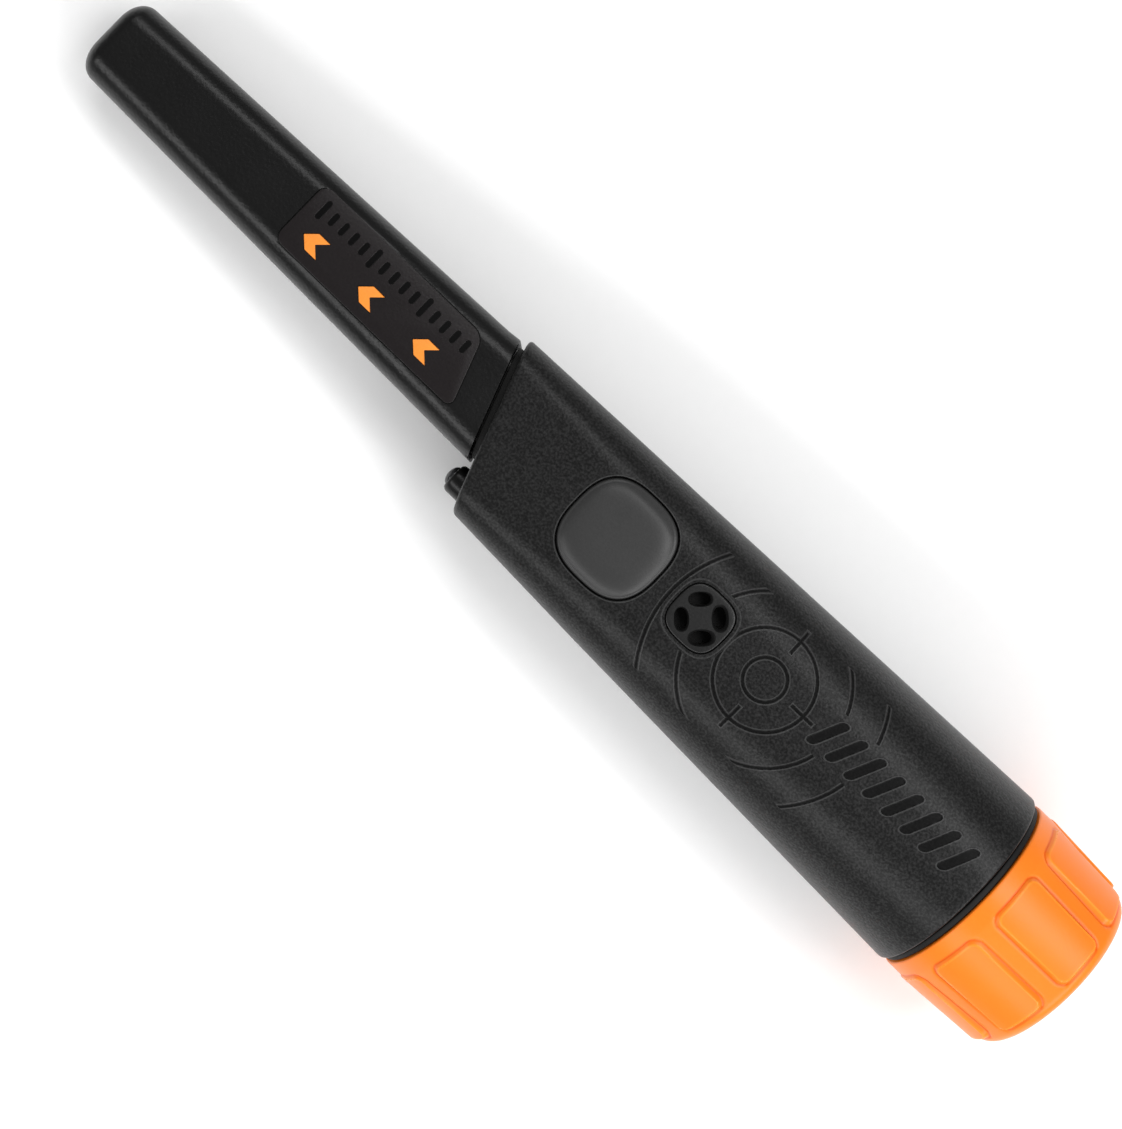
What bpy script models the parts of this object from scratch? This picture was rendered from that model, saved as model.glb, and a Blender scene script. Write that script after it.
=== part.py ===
"""A hand-held pinpointer probe: sensing nose, tapered handle, push button, lamp, grille and battery cap.

Every piece is drawn in the device's own frame: X runs along the device towards the cap, Z out of the button
face, Y across it towards the side the nose is offset to. One empty then pitches and lifts the whole device so
that the flat of the handle's back lies on the ground.
"""

import math

import bmesh
import bpy
from mathutils import Vector

MM = 0.001
GAP = 0.3 * MM

# The handle
FRONT_X = -26.1 * MM
FRONT_SHEAR = -0.360
SHEAR_ENDS_X = 10.0 * MM
BODY_END_X = 90.9 * MM
HALF_WIDTH_0 = 16.80 * MM
WIDTH_SLOPE = 0.0339
HALF_DEPTH_0 = 14.654 * MM
DEPTH_SLOPE = 0.0577
TOP_FLAT_FRONT = 10.5 * MM
TOP_FLAT_REAR = 1.0 * MM
BACK_FLAT_FRONT = 9.0 * MM
BACK_FLAT_REAR = 3.0 * MM
SIDE_FLAT_FRONT = 7.5 * MM
SIDE_FLAT_REAR = 0.5 * MM
WALL = 2.0 * MM
FRONT_WALL = 2.2 * MM
FRONT_SIDE_WALL = 1.2 * MM
FRONT_ROUND = 0.8 * MM
CAVITY_END_X = 48.0 * MM
BAY_START_X = 50.0 * MM
LEAD_HOLE_R = 4.0 * MM
BORE_R = 16.0 * MM
NECK_R = 17.0 * MM
NECK_END_X = 103.0 * MM
CORNER_STEPS = 9

# The screw thread between neck and cap
PITCH = 3.0 * MM
NECK_RIDGE_R = 17.6 * MM
CAP_ROOT_R = 18.0 * MM
CAP_RIDGE_R = 17.35 * MM
RIDGE_HALF_BASE = 0.65 * MM
RIDGE_HALF_TOP = 0.35 * MM
THREAD_STEPS = 24
NECK_THREAD = (95.2 * MM, 2.0)
CAP_THREAD = (96.7 * MM, 1.75)

# The nose
TIP_X = -125.8 * MM
TIP_TOP_Y, TIP_LOW_Y = 11.8 * MM, -5.1 * MM
BASE_TOP_Y, BASE_LOW_Y = 14.7 * MM, -7.2 * MM
TIP_HALF_DEPTH, BASE_HALF_DEPTH = 7.0 * MM, 11.0 * MM
NOSE_CORNER_R = 5.0 * MM
NOSE_WALL = 1.8 * MM
NECKING = 1.6 * MM
NOSE_GAP = 1.5 * MM
SPIGOT_END_X = -14.0 * MM
NOSE_Y = 3.5 * MM

# The label let into the nose, and its chevrons
LABEL_CORNERS = (
    (-77.1 * MM, -3.05 * MM),
    (-32.9 * MM, -3.05 * MM),
    (-37.8 * MM, 10.56 * MM),
    (-77.1 * MM, 10.56 * MM),
)
LABEL_CORNER = 2.2 * MM
LABEL_DEPTH = 0.35 * MM
LABEL_GAP = 0.21 * MM
CHEVRONS = (
    ("chevron_inlay_front", -70.1 * MM),
    ("chevron_inlay_middle", -56.6 * MM),
    ("chevron_inlay_rear", -43.1 * MM),
)
CHEVRON_Y = 1.3 * MM
CHEVRON_HALF, CHEVRON_ARM, CHEVRON_LEAN = 1.9 * MM, 1.4 * MM, 2.0 * MM

# The button, the grille and the lamp
BUTTON_X, BUTTON_Y = 3.9 * MM, 1.0 * MM
BUTTON_HALF = 9.7 * MM
BUTTON_CORNER_R = 7.5 * MM
BUTTON_TRAVEL = 0.6 * MM
BUTTON_CROWN = 0.9 * MM
GRILLE_X, GRILLE_Y = 23.95 * MM, 1.1 * MM
GRILLE_HALF = 5.47 * MM
GRILLE_CORNER_R = 3.4 * MM
GRILLE_HOLE_AT = 2.45 * MM
GRILLE_HOLE_HALF, GRILLE_HOLE_CORNER = 1.7 * MM, 1.0 * MM
FLANGE = 0.9 * MM
LAMP_Y = -11.1 * MM
LAMP_R = 2.95 * MM
LAMP_TIP_X = -25.7 * MM

# The engraved rings, their three ticks and the row of slanted capsules
RING_X, RING_Y = 39.3 * MM, 1.2 * MM
RING_RADII = (3.9 * MM, 9.1 * MM, 15.4 * MM, 22.4 * MM)
RING_MOST_Y = 13.2 * MM
RING_CLEARANCE = 1.2 * MM
FINE_RING_R = 10.0 * MM
FINE_STEPS, COARSE_STEPS = 24, 56
GROOVE_W, GROOVE_D = 0.8 * MM, 0.4 * MM
TICK_R = (6.4 * MM, 11.2 * MM)
CAPSULES = 8
CAPSULE_X = (53.5 * MM, 84.5 * MM)
CAPSULE_Y = 2.1 * MM
CAPSULE_W, CAPSULE_HALF_Y, CAPSULE_LEAN = 1.61 * MM, 3.2 * MM, 1.4 * MM
ROW_CLEAR_X, ROW_CLEAR_Y = 50.0 * MM, 4.4 * MM

# The seal and the cap
SEAL_X = (91.2 * MM, 92.2 * MM)
SEAL_R = 19.2 * MM
CAP_START_X, CAP_END_X = 92.5 * MM, 115.7 * MM
CAP_COLLAR_X = 95.9 * MM
CAP_R, CAP_END_R = 19.55 * MM, 18.1 * MM
CAP_FILLET = 2.5 * MM
CAP_FLOOR = 2.2 * MM
CAP_STEP_X = 104.4 * MM
PRESSURE_PAD_X = (106.8 * MM, 113.2 * MM)
PADS = 8
PAD_SPAN = math.radians(32.0)
PAD_PHASE = math.radians(-12.0)
PAD_X = (96.0 * MM, 113.2 * MM)
PAD_R = (19.85 * MM, 18.95 * MM)
PAD_CORNER = 1.8 * MM
PAD_ROOT = 1.2 * MM
CAP_TRAVEL = 6.0 * MM

# The power bay
BATTERY_X = (58.0 * MM, 106.5 * MM)
BATTERY_HALF_Y, BATTERY_HALF_Z = 13.25 * MM, 8.75 * MM
TERMINAL_Y = 6.35 * MM
TERMINAL_L = 2.8 * MM
CONTACT_X = (50.4 * MM, 52.0 * MM)
SPRING_R, SPRING_WIRE_R, SPRING_TURNS, SPRING_STEPS = 2.4 * MM, 0.3 * MM, 3, 10

# The board and what it carries
BOARD_X = (-11.0 * MM, 46.0 * MM)
BOARD_HALF_Y = 11.5 * MM
BOARD_Z = (2.0 * MM, 3.6 * MM)
SCREW_X = (-7.0 * MM, 42.0 * MM)
SCREW_Y = 9.0 * MM
MOTOR_X, MOTOR_Y, MOTOR_Z, MOTOR_R = (6.0 * MM, 20.0 * MM), -5.0 * MM, -2.2 * MM, 3.5 * MM

# The device frame's place above the ground
PITCH_ANGLE = math.atan(DEPTH_SLOPE)
LIFT = HALF_DEPTH_0 * math.cos(PITCH_ANGLE)
SHIFT_X = 4.673 * MM

CHARCOAL = (0.030, 0.031, 0.034, 1.0)
GREY = (0.075, 0.077, 0.082, 1.0)
RUBBER = (0.015, 0.015, 0.016, 1.0)
ORANGE = (0.90, 0.22, 0.03, 1.0)
STEEL = (0.62, 0.62, 0.64, 1.0)
COPPER = (0.72, 0.36, 0.18, 1.0)
BOARD = (0.03, 0.20, 0.09, 1.0)
WHITE = (0.75, 0.75, 0.72, 1.0)
FERRITE = (0.11, 0.10, 0.10, 1.0)


def clear_scene():
    """Empty the scene."""
    for obj in list(bpy.data.objects):
        bpy.data.objects.remove(obj, do_unlink=True)


def make_device_frame():
    """The empty that every piece hangs from."""
    frame = bpy.data.objects.new("device_frame", None)
    bpy.context.scene.collection.objects.link(frame)
    frame.location = (SHIFT_X, 0.0, LIFT)
    frame.rotation_euler = (0.0, -PITCH_ANGLE, 0.0)
    return frame


def material(name, colour, rough, metallic=0.0):
    """A Principled material."""
    made = bpy.data.materials.new(name)
    made.use_nodes = True
    shader = made.node_tree.nodes["Principled BSDF"]
    shader.inputs["Base Color"].default_value = colour
    shader.inputs["Roughness"].default_value = rough
    shader.inputs["Metallic"].default_value = metallic
    return made


class Kit:
    """Makes objects that hang from the device frame."""

    def __init__(self, frame):
        self.frame = frame

    def node(self, name, bm, look, origin=(0.0, 0.0, 0.0), smooth=True):
        """A visible piece from a bmesh drawn in the device frame, with its origin where asked for."""
        obj = self._object(name, bm, origin)
        obj.data.materials.append(material(name, *look))
        if smooth:
            obj.data.shade_smooth()
            obj.data.set_sharp_from_angle(angle=math.radians(32.0))
        return obj

    def cutter(self, name, bm, origin=(0.0, 0.0, 0.0)):
        """A hidden solid used by a boolean."""
        obj = self._object(name, bm, origin)
        obj.hide_render = True
        obj.display_type = "WIRE"
        return obj

    def _object(self, name, bm, origin):
        bmesh.ops.recalc_face_normals(bm, faces=bm.faces)
        bmesh.ops.translate(bm, verts=bm.verts, vec=-Vector(origin))
        mesh = bpy.data.meshes.new(name)
        bm.to_mesh(mesh)
        bm.free()
        obj = bpy.data.objects.new(name, mesh)
        bpy.context.scene.collection.objects.link(obj)
        obj.location = origin
        obj.parent = self.frame
        return obj


def boolean(target, tool, operation, solver="EXACT"):
    """Cut the tool out of the target, or join it on."""
    step = target.modifiers.new(tool.name, "BOOLEAN")
    step.operation = operation
    step.solver = solver
    step.object = tool


def bevelled(obj, width, segments=2):
    """Round the sharp edges of a block."""
    step = obj.modifiers.new("edges", "BEVEL")
    step.width = width
    step.segments = segments
    step.limit_method = "ANGLE"


def loft(rings, closed=False):
    """A bmesh skinned over rings of points; its ends are capped, or joined to each other."""
    bm = bmesh.new()
    loops = [[bm.verts.new(p) for p in ring] for ring in rings]
    count = len(rings[0])
    pairs = list(zip(loops, loops[1:]))
    if closed:
        pairs.append((loops[-1], loops[0]))
    else:
        bm.faces.new(loops[0])
        bm.faces.new(loops[-1])
    for one, two in pairs:
        for k in range(count):
            bm.faces.new((one[k], one[(k + 1) % count], two[(k + 1) % count], two[k]))
    return bm


def box(low, high):
    """A block between two corners."""
    bm = bmesh.new()
    bmesh.ops.create_cube(bm, size=1.0)
    size = Vector(high) - Vector(low)
    bmesh.ops.scale(bm, verts=bm.verts, vec=size)
    bmesh.ops.translate(bm, verts=bm.verts, vec=(Vector(low) + Vector(high)) / 2)
    return bm


def turned(profile, y, z, segments=32, axis="X", closed=True):
    """A solid of revolution about an axis through (y, z) along X, or through (x, y) along Z."""
    rings = []
    for along, radius in profile:
        ring = []
        for k in range(segments):
            angle = 2 * math.pi * k / segments
            a, b = y + radius * math.cos(angle), z + radius * math.sin(angle)
            ring.append((along, a, b) if axis == "X" else (a, b, along))
        rings.append(ring)
    return loft(rings, closed=closed)


def disc(low, high, radius, x, y, segments=32, edge=0.0):
    """An upright cylinder with an optional chamfer."""
    inner = radius - edge
    profile = [(low, inner), (low + edge, radius), (high - edge, radius), (high, inner)]
    if edge == 0.0:
        profile = [(low, radius), (high, radius)]
    return turned(profile, x, y, segments, "Z", False)


def rounded_corners(half_y, half_z, flats, steps=CORNER_STEPS):
    """Points round a section whose four corners are quarter ellipses.

    flats gives the flat half-widths of the top and of the back, and the flat half-height of the sides.
    """
    top, back, side = flats
    ring = []
    for quadrant in range(4):
        flat = top if quadrant < 2 else back
        for k in range(steps + 1):
            turn = math.pi / 2 * k / steps
            if quadrant % 2:
                turn = math.pi / 2 - turn
            y = flat + (half_y - flat) * math.cos(turn)
            z = side + (half_z - side) * math.sin(turn)
            ring.append((y if quadrant in (0, 3) else -y, z if quadrant < 2 else -z))
    return ring


def share(x):
    """How far x lies along the handle, from 0 at its front to 1 at its end."""
    return min(max((x - FRONT_X) / (BODY_END_X - FRONT_X), 0.0), 1.0)


def body_section(x, inset=0.0):
    """The handle's section at a station, as (x, y, z) points, leaning with the front where it is near it."""
    part = share(x)
    reach = SHEAR_ENDS_X - FRONT_X - FRONT_WALL
    lean = FRONT_SHEAR * min(max((SHEAR_ENDS_X - x) / reach, 0.0), 1.0)
    flats = (
        TOP_FLAT_FRONT + (TOP_FLAT_REAR - TOP_FLAT_FRONT) * part,
        BACK_FLAT_FRONT + (BACK_FLAT_REAR - BACK_FLAT_FRONT) * part,
        SIDE_FLAT_FRONT + (SIDE_FLAT_REAR - SIDE_FLAT_FRONT) * part,
    )
    width = HALF_WIDTH_0 + WIDTH_SLOPE * x - inset
    depth = HALF_DEPTH_0 - inset
    ring = []
    for y, z in rounded_corners(width, depth, flats):
        at = x + lean * y
        ring.append((at, y, z * (1.0 + DEPTH_SLOPE * at / depth)))
    return ring


def face_z(x, y):
    """The height of the button face over a point of the handle."""
    part = share(x)
    flat = TOP_FLAT_FRONT + (TOP_FLAT_REAR - TOP_FLAT_FRONT) * part
    side = SIDE_FLAT_FRONT + (SIDE_FLAT_REAR - SIDE_FLAT_FRONT) * part
    depth = HALF_DEPTH_0 + DEPTH_SLOPE * x
    width = HALF_WIDTH_0 + WIDTH_SLOPE * x
    over = min(max((abs(y) - flat) / (width - flat), 0.0), 1.0)
    side *= depth / HALF_DEPTH_0
    return side + (depth - side) * math.sqrt(1.0 - over * over)


def nose_section(x, inset=0.0, lean=0.0):
    """The nose's section at a station, centred on its own slightly drifting centre line."""
    part = (x - TIP_X) / (FRONT_X - TIP_X)
    top = TIP_TOP_Y + (BASE_TOP_Y - TIP_TOP_Y) * part
    low = TIP_LOW_Y + (BASE_LOW_Y - TIP_LOW_Y) * part
    depth = TIP_HALF_DEPTH + (BASE_HALF_DEPTH - TIP_HALF_DEPTH) * part - inset
    centre, width = (top + low) / 2, (top - low) / 2 - inset
    corner = max(NOSE_CORNER_R - inset, 1.0 * MM)
    flats = (width - corner, width - corner, depth - corner)
    return [(x + lean * (centre + y), centre + y, z) for y, z in rounded_corners(width, depth, flats)]


def circle(x, radius):
    """A round section with as many points as the handle's."""
    ring = []
    steps = CORNER_STEPS + 1
    for quadrant in range(4):
        for k in range(steps):
            turn = math.pi / 2 * (quadrant + (k + 0.5) / steps)
            ring.append((x, radius * math.cos(turn), radius * math.sin(turn)))
    return ring


def squircle(x, y, half, corner, height, steps=5):
    """A rounded square ring over the button face; height is a function of x and y."""
    ring = []
    for quadrant in range(4):
        for k in range(steps + 1):
            turn = math.pi / 2 * (quadrant + k / steps)
            dx = math.copysign(half - corner, math.cos(turn + 1e-9)) + corner * math.cos(turn)
            dy = math.copysign(half - corner, math.sin(turn + 1e-9)) + corner * math.sin(turn)
            if k == steps:
                flip = math.pi / 2 * (quadrant + 1)
                inner_x = math.copysign(half - corner, math.cos(flip - 1e-3))
                inner_y = math.copysign(half - corner, math.sin(flip - 1e-3))
                dx, dy = inner_x + corner * math.cos(flip), inner_y + corner * math.sin(flip)
            ring.append((x + dx, y + dy, height(x + dx, y + dy)))
    return ring


def above(offset):
    """A height that stays a fixed distance from the button face."""
    return lambda x, y: face_z(x, y) + offset


def slope_at(offset, y):
    """A height over the flat of the button face at one side station, so a ring stays plane."""
    return lambda x, _: face_z(x, y) + offset


def helix(start_x, turns, root_r, crest_r):
    """A closed trapezoid ridge wound about X, thinning to nothing at both ends."""
    rings = []
    count = round(turns * THREAD_STEPS)
    for k in range(count + 1):
        angle = 2 * math.pi * k / THREAD_STEPS
        fade = min(k / 3, (count - k) / 3, 1.0)
        crest = root_r + (crest_r - root_r) * (0.15 + 0.85 * fade)
        sunk = root_r - math.copysign(0.4 * MM, crest_r - root_r)
        ring = []
        for radius, half in (
            (sunk, -RIDGE_HALF_BASE),
            (sunk, RIDGE_HALF_BASE),
            (crest, RIDGE_HALF_TOP),
            (crest, -RIDGE_HALF_TOP),
        ):
            x = start_x + PITCH * k / THREAD_STEPS + half
            ring.append((x, radius * math.cos(angle), radius * math.sin(angle)))
        rings.append(ring)
    return loft(rings)


def groove(points, width, depth, closed):
    """A cutter following a path over the button face, its floor a fixed depth below it."""
    rings = []
    last = len(points) - 1
    for k, (x, y) in enumerate(points):
        before = points[k - 1] if closed or k else points[k]
        after = points[(k + 1) % len(points)] if closed or k < last else points[k]
        along = Vector((after[0] - before[0], after[1] - before[1])).normalized()
        dx, dy = -along.y * width / 2, along.x * width / 2
        low = face_z(x, y) - depth
        rings.append(
            [
                (x - dx * 0.5, y - dy * 0.5, low),
                (x + dx * 0.5, y + dy * 0.5, low),
                (x + dx * 1.6, y + dy * 1.6, low + 2.4 * depth),
                (x - dx * 1.6, y - dy * 1.6, low + 2.4 * depth),
            ]
        )
    return loft(rings, closed=closed)


def from_grille(x, y):
    """The distance of a point from the grille's rounded square."""
    flat = GRILLE_HALF - GRILLE_CORNER_R
    dx, dy = abs(x - GRILLE_X) - flat, abs(y - GRILLE_Y) - flat
    return math.hypot(max(dx, 0.0), max(dy, 0.0)) - GRILLE_CORNER_R


def ring_is_shut(x, y):
    """Whether a ring breaks off at a point: at the grille, the capsules or the rounding of the sides."""
    in_row = x > ROW_CLEAR_X and abs(y - CAPSULE_Y) < ROW_CLEAR_Y
    return in_row or from_grille(x, y) < RING_CLEARANCE or abs(y) > RING_MOST_Y


def ring_paths():
    """The arcs of the engraved rings, as (points, whether it is a whole circle)."""
    paths = []
    for radius in RING_RADII:
        steps = FINE_STEPS if radius < FINE_RING_R else COARSE_STEPS
        path = []
        for k in range(steps + 1):
            angle = 2 * math.pi * k / steps
            x, y = RING_X + radius * math.cos(angle), RING_Y + radius * math.sin(angle)
            if ring_is_shut(x, y):
                paths.append((path, False))
                path = []
            else:
                path.append((x, y))
        whole = len(path) == steps + 1
        paths.append((path[:-1] if whole else path, whole))
    return [(path, whole) for path, whole in paths if len(path) > 1]


def tick_paths():
    """Three short ticks that cross the second ring, one towards the cap and one to each side."""
    near, far = TICK_R
    return [
        [(RING_X + near, RING_Y), (RING_X + far, RING_Y)],
        [(RING_X, RING_Y + near), (RING_X, RING_Y + far)],
        [(RING_X, RING_Y - near), (RING_X, RING_Y - far)],
    ]


def capsule_cutters():
    """A row of slanted capsule recesses near the cap."""
    parts = []
    for k in range(CAPSULES):
        x = CAPSULE_X[0] + (CAPSULE_X[1] - CAPSULE_X[0]) * k / (CAPSULES - 1)
        low = (x - CAPSULE_LEAN, CAPSULE_Y - CAPSULE_HALF_Y)
        high = (x + CAPSULE_LEAN, CAPSULE_Y + CAPSULE_HALF_Y)
        parts.append(groove([low, (x, CAPSULE_Y), high], CAPSULE_W, GROOVE_D, False))
    return parts


def merged(parts):
    """One bmesh holding several separate ones."""
    whole = bmesh.new()
    for part in parts:
        mesh = bpy.data.meshes.new("part")
        part.to_mesh(mesh)
        part.free()
        whole.from_mesh(mesh)
        bpy.data.meshes.remove(mesh)
    return whole


def make_body(kit):
    """The handle's shell: one skin out over the handle, round the neck's end and back through the inside."""
    outer = [
        body_section(FRONT_X, FRONT_ROUND),
        body_section(FRONT_X + 0.35 * MM, 0.25 * MM),
        body_section(FRONT_X + 1.2 * MM),
    ]
    outer += [body_section(x * MM) for x in (-10.0, 10.0, 30.0, 50.0, 70.0, 90.4)]
    outer.append(body_section(BODY_END_X, 0.5 * MM))
    neck = [
        circle(BODY_END_X, NECK_R),
        circle(NECK_END_X - 0.4 * MM, NECK_R),
        circle(NECK_END_X, NECK_R - 0.4 * MM),
        circle(NECK_END_X, BORE_R),
        circle(BAY_START_X, BORE_R),
        circle(BAY_START_X, LEAD_HOLE_R),
        circle(CAVITY_END_X, LEAD_HOLE_R),
    ]
    cavity = [body_section(x, WALL) for x in (CAVITY_END_X, 30.0 * MM, 10.0 * MM, -10.0 * MM)]
    inside = FRONT_X + FRONT_WALL
    cavity.append(body_section(inside, FRONT_SIDE_WALL))
    mouth = [
        nose_section(inside, 0.5 * MM - GAP, FRONT_SHEAR),
        nose_section(FRONT_X, 0.5 * MM - GAP, FRONT_SHEAR),
    ]
    body = kit.node("body_shell", loft(outer + neck + cavity + mouth, closed=True), (CHARCOAL, 0.55))
    start, turns = NECK_THREAD
    boolean(body, kit.cutter("neck_thread", helix(start, turns, NECK_R, NECK_RIDGE_R)), "UNION")
    button = [
        squircle(BUTTON_X, BUTTON_Y, BUTTON_HALF + GAP, BUTTON_CORNER_R + GAP, slope_at(h, BUTTON_Y))
        for h in (-5.0 * MM, 3.0 * MM)
    ]
    grille = [
        squircle(GRILLE_X, GRILLE_Y, GRILLE_HALF + GAP, GRILLE_CORNER_R + GAP, slope_at(h, GRILLE_Y))
        for h in (-5.0 * MM, 3.0 * MM)
    ]
    lamp = turned([(-32.0 * MM, LAMP_R + GAP), (-15.0 * MM, LAMP_R + GAP)], LAMP_Y, 0.0, 24, closed=False)
    holes = kit.cutter("body_holes", merged([loft(button), loft(grille), lamp]))
    boolean(body, holes, "DIFFERENCE")
    lines = [groove(path, GROOVE_W, GROOVE_D, whole) for path, whole in ring_paths()]
    boolean(body, kit.cutter("body_rings", merged(lines)), "DIFFERENCE", "MANIFOLD")
    marks = [groove(path, GROOVE_W, GROOVE_D * 0.9, False) for path in tick_paths()]
    boolean(body, kit.cutter("body_marks", merged(marks + capsule_cutters())), "DIFFERENCE", "MANIFOLD")


def make_nose(kit):
    """The nose's housing: skinned from its tip to the spigot's end and back down the inside."""
    tip = ((0.0, 4.2), (0.35, 2.6), (1.0, 1.3), (2.2, 0.4), (3.8, 0.0))
    rings = [nose_section(TIP_X + x * MM, inset * MM) for x, inset in tip]
    rings.append(nose_section(-80.0 * MM))
    rings.append(nose_section(FRONT_X - NOSE_GAP, 0.0, FRONT_SHEAR))
    rings.append(nose_section(FRONT_X - NOSE_GAP, NECKING, FRONT_SHEAR))
    rings.append(nose_section(SPIGOT_END_X, NECKING))
    inner = NECKING + NOSE_WALL * 0.8
    rings.append(nose_section(SPIGOT_END_X, inner))
    rings.append(nose_section(FRONT_X - 2.0 * MM, inner))
    rings.append(nose_section(-80.0 * MM, NOSE_WALL))
    rings.append(nose_section(TIP_X + 2.4 * MM, NOSE_WALL))
    housing = kit.node("probe_housing", loft(rings), (CHARCOAL, 0.5))
    panel = kit.cutter("panel_recess", panel_plate(0.0, 0.6 * MM + LABEL_DEPTH, 1.0 * MM))
    boolean(housing, panel, "DIFFERENCE")

    gasket = [
        nose_section(FRONT_X - NOSE_GAP + GAP, 0.5 * MM, FRONT_SHEAR),
        nose_section(FRONT_X + 1.9 * MM, 0.5 * MM, FRONT_SHEAR),
        nose_section(FRONT_X + 1.9 * MM, NECKING - GAP, FRONT_SHEAR),
        nose_section(FRONT_X - NOSE_GAP + GAP, NECKING - GAP, FRONT_SHEAR),
    ]
    kit.node("probe_gasket", loft(gasket, closed=True), (RUBBER, 0.8))


def nose_face_z(x):
    """The height of the nose's upper face."""
    part = (x - TIP_X) / (FRONT_X - TIP_X)
    return TIP_HALF_DEPTH + (BASE_HALF_DEPTH - TIP_HALF_DEPTH) * part


def panel_plate(shrink, depth, high):
    """A plate following the nose's face, with a slanted end; depth and high are measured from the face."""
    corners = LABEL_CORNERS
    inner = [
        (corners[0][0] + shrink, corners[0][1] + shrink),
        (corners[1][0] - shrink * 1.4, corners[1][1] + shrink),
        (corners[2][0] - shrink * 0.8, corners[2][1] - shrink),
        (corners[3][0] + shrink, corners[3][1] - shrink),
    ]
    steps = 5
    rounded = []
    for k, corner in enumerate(inner):
        here, before, after = Vector(corner), Vector(inner[k - 1]), Vector(inner[(k + 1) % 4])
        one = here + (before - here).normalized() * LABEL_CORNER
        two = here + (after - here).normalized() * LABEL_CORNER
        for step in range(steps):
            t = step / (steps - 1)
            rounded.append(one * (1 - t) ** 2 + here * 2 * t * (1 - t) + two * t * t)
    bottom = [(p.x, p.y, nose_face_z(p.x) - depth) for p in rounded]
    top = [(p.x, p.y, nose_face_z(p.x) + high) for p in rounded]
    return loft([bottom, top])


def make_label(kit):
    """The inlaid label plate and the three chevrons let into it."""
    shape = panel_plate(LABEL_GAP, 0.3 * MM + LABEL_DEPTH, -0.02 * MM)
    plate = kit.node("label_inlay", shape, (CHARCOAL, 0.4))
    recesses = []
    for name, x in CHEVRONS:
        recesses.append(chevron(x, 0.12 * MM, -0.36 * MM, 0.5 * MM))
        kit.node(name, chevron(x, 0.0, -0.30 * MM, 0.03 * MM), (ORANGE, 0.45), smooth=False)
    boolean(plate, kit.cutter("chevron_recesses", merged(recesses)), "DIFFERENCE")


def chevron(x, grow, low, high):
    """A chevron lying on the nose's face and pointing to the tip."""
    half, arm = CHEVRON_HALF + grow, CHEVRON_ARM + grow
    point = CHEVRON_LEAN * half / CHEVRON_HALF
    outline = [
        (x - arm - point, CHEVRON_Y),
        (x - arm, CHEVRON_Y + half),
        (x + arm, CHEVRON_Y + half),
        (x + arm - point, CHEVRON_Y),
        (x + arm, CHEVRON_Y - half),
        (x - arm, CHEVRON_Y - half),
    ]
    bottom = [(a, b, nose_face_z(a) + low) for a, b in outline]
    top = [(a, b, nose_face_z(a) + high) for a, b in outline]
    return loft([bottom, top])


def make_button(kit):
    """The pillow-topped push button, with its inner flange and the post that reaches the switch."""
    y = BUTTON_Y

    def ring(inset, height, follow=False):
        level = above(height) if follow else slope_at(height, y)
        corner = max(BUTTON_CORNER_R - inset, 0.6 * MM)
        return squircle(BUTTON_X, y, BUTTON_HALF - inset, corner, level)

    def post(height):
        return squircle(BUTTON_X, y, 2.2 * MM, 2.19 * MM, lambda *_: height)

    rings = [post(8.8 * MM), post(9.9 * MM), ring(-FLANGE, -4.2 * MM), ring(-FLANGE, -3.6 * MM)]
    rings += [ring(0.0, -3.6 * MM), ring(0.0, -0.35 * MM, True), ring(0.35 * MM, 0.05 * MM, True)]
    rings += [ring(1.3 * MM, 0.36 * MM), ring(3.2 * MM, 0.64 * MM), ring(6.0 * MM, BUTTON_CROWN)]
    kit.node("button_cap", loft(rings), (GREY, 0.42), origin=(BUTTON_X, BUTTON_Y, 12.0 * MM))


def make_speaker(kit):
    """The grille, the membrane behind it, the gasket and the speaker can."""
    y = GRILLE_Y

    def ring(inset, height):
        corner = max(GRILLE_CORNER_R - inset, 0.6 * MM)
        return squircle(GRILLE_X, y, GRILLE_HALF - inset, corner, slope_at(height, y))

    rings = [ring(-FLANGE, -3.0 * MM), ring(-FLANGE, -2.4 * MM), ring(0.0, -2.4 * MM)]
    rings += [ring(0.0, -0.4 * MM), ring(0.3 * MM, -0.1 * MM)]
    grille = kit.node("speaker_grille", loft(rings), (CHARCOAL, 0.5))
    holes = []
    half, corner = GRILLE_HOLE_HALF, GRILLE_HOLE_CORNER
    for x in (GRILLE_X - GRILLE_HOLE_AT, GRILLE_X + GRILLE_HOLE_AT):
        for hole_y in (y - GRILLE_HOLE_AT, y + GRILLE_HOLE_AT):
            bottom = squircle(x, hole_y, half, corner, slope_at(-4.0 * MM, y), 3)
            top = squircle(x, hole_y, half, corner, slope_at(1.0 * MM, y), 3)
            holes.append(loft([bottom, top]))
    boolean(grille, kit.cutter("grille_holes", merged(holes)), "DIFFERENCE")

    kit.node("acoustic_membrane", disc(12.0 * MM, 12.25 * MM, 5.2 * MM, GRILLE_X, y, 24), (RUBBER, 0.7))
    tube = [(10.8 * MM, 6.2 * MM), (11.7 * MM, 6.2 * MM), (11.7 * MM, 4.8 * MM), (10.8 * MM, 4.8 * MM)]
    kit.node("speaker_gasket", turned(tube, GRILLE_X, y, 24, "Z"), (RUBBER, 0.85))
    can = disc(6.0 * MM, 10.5 * MM, 8.5 * MM, GRILLE_X + 2.6 * MM, 0.0, 32, 0.4 * MM)
    kit.node("speaker_can", can, (STEEL, 0.35, 1.0))


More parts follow.
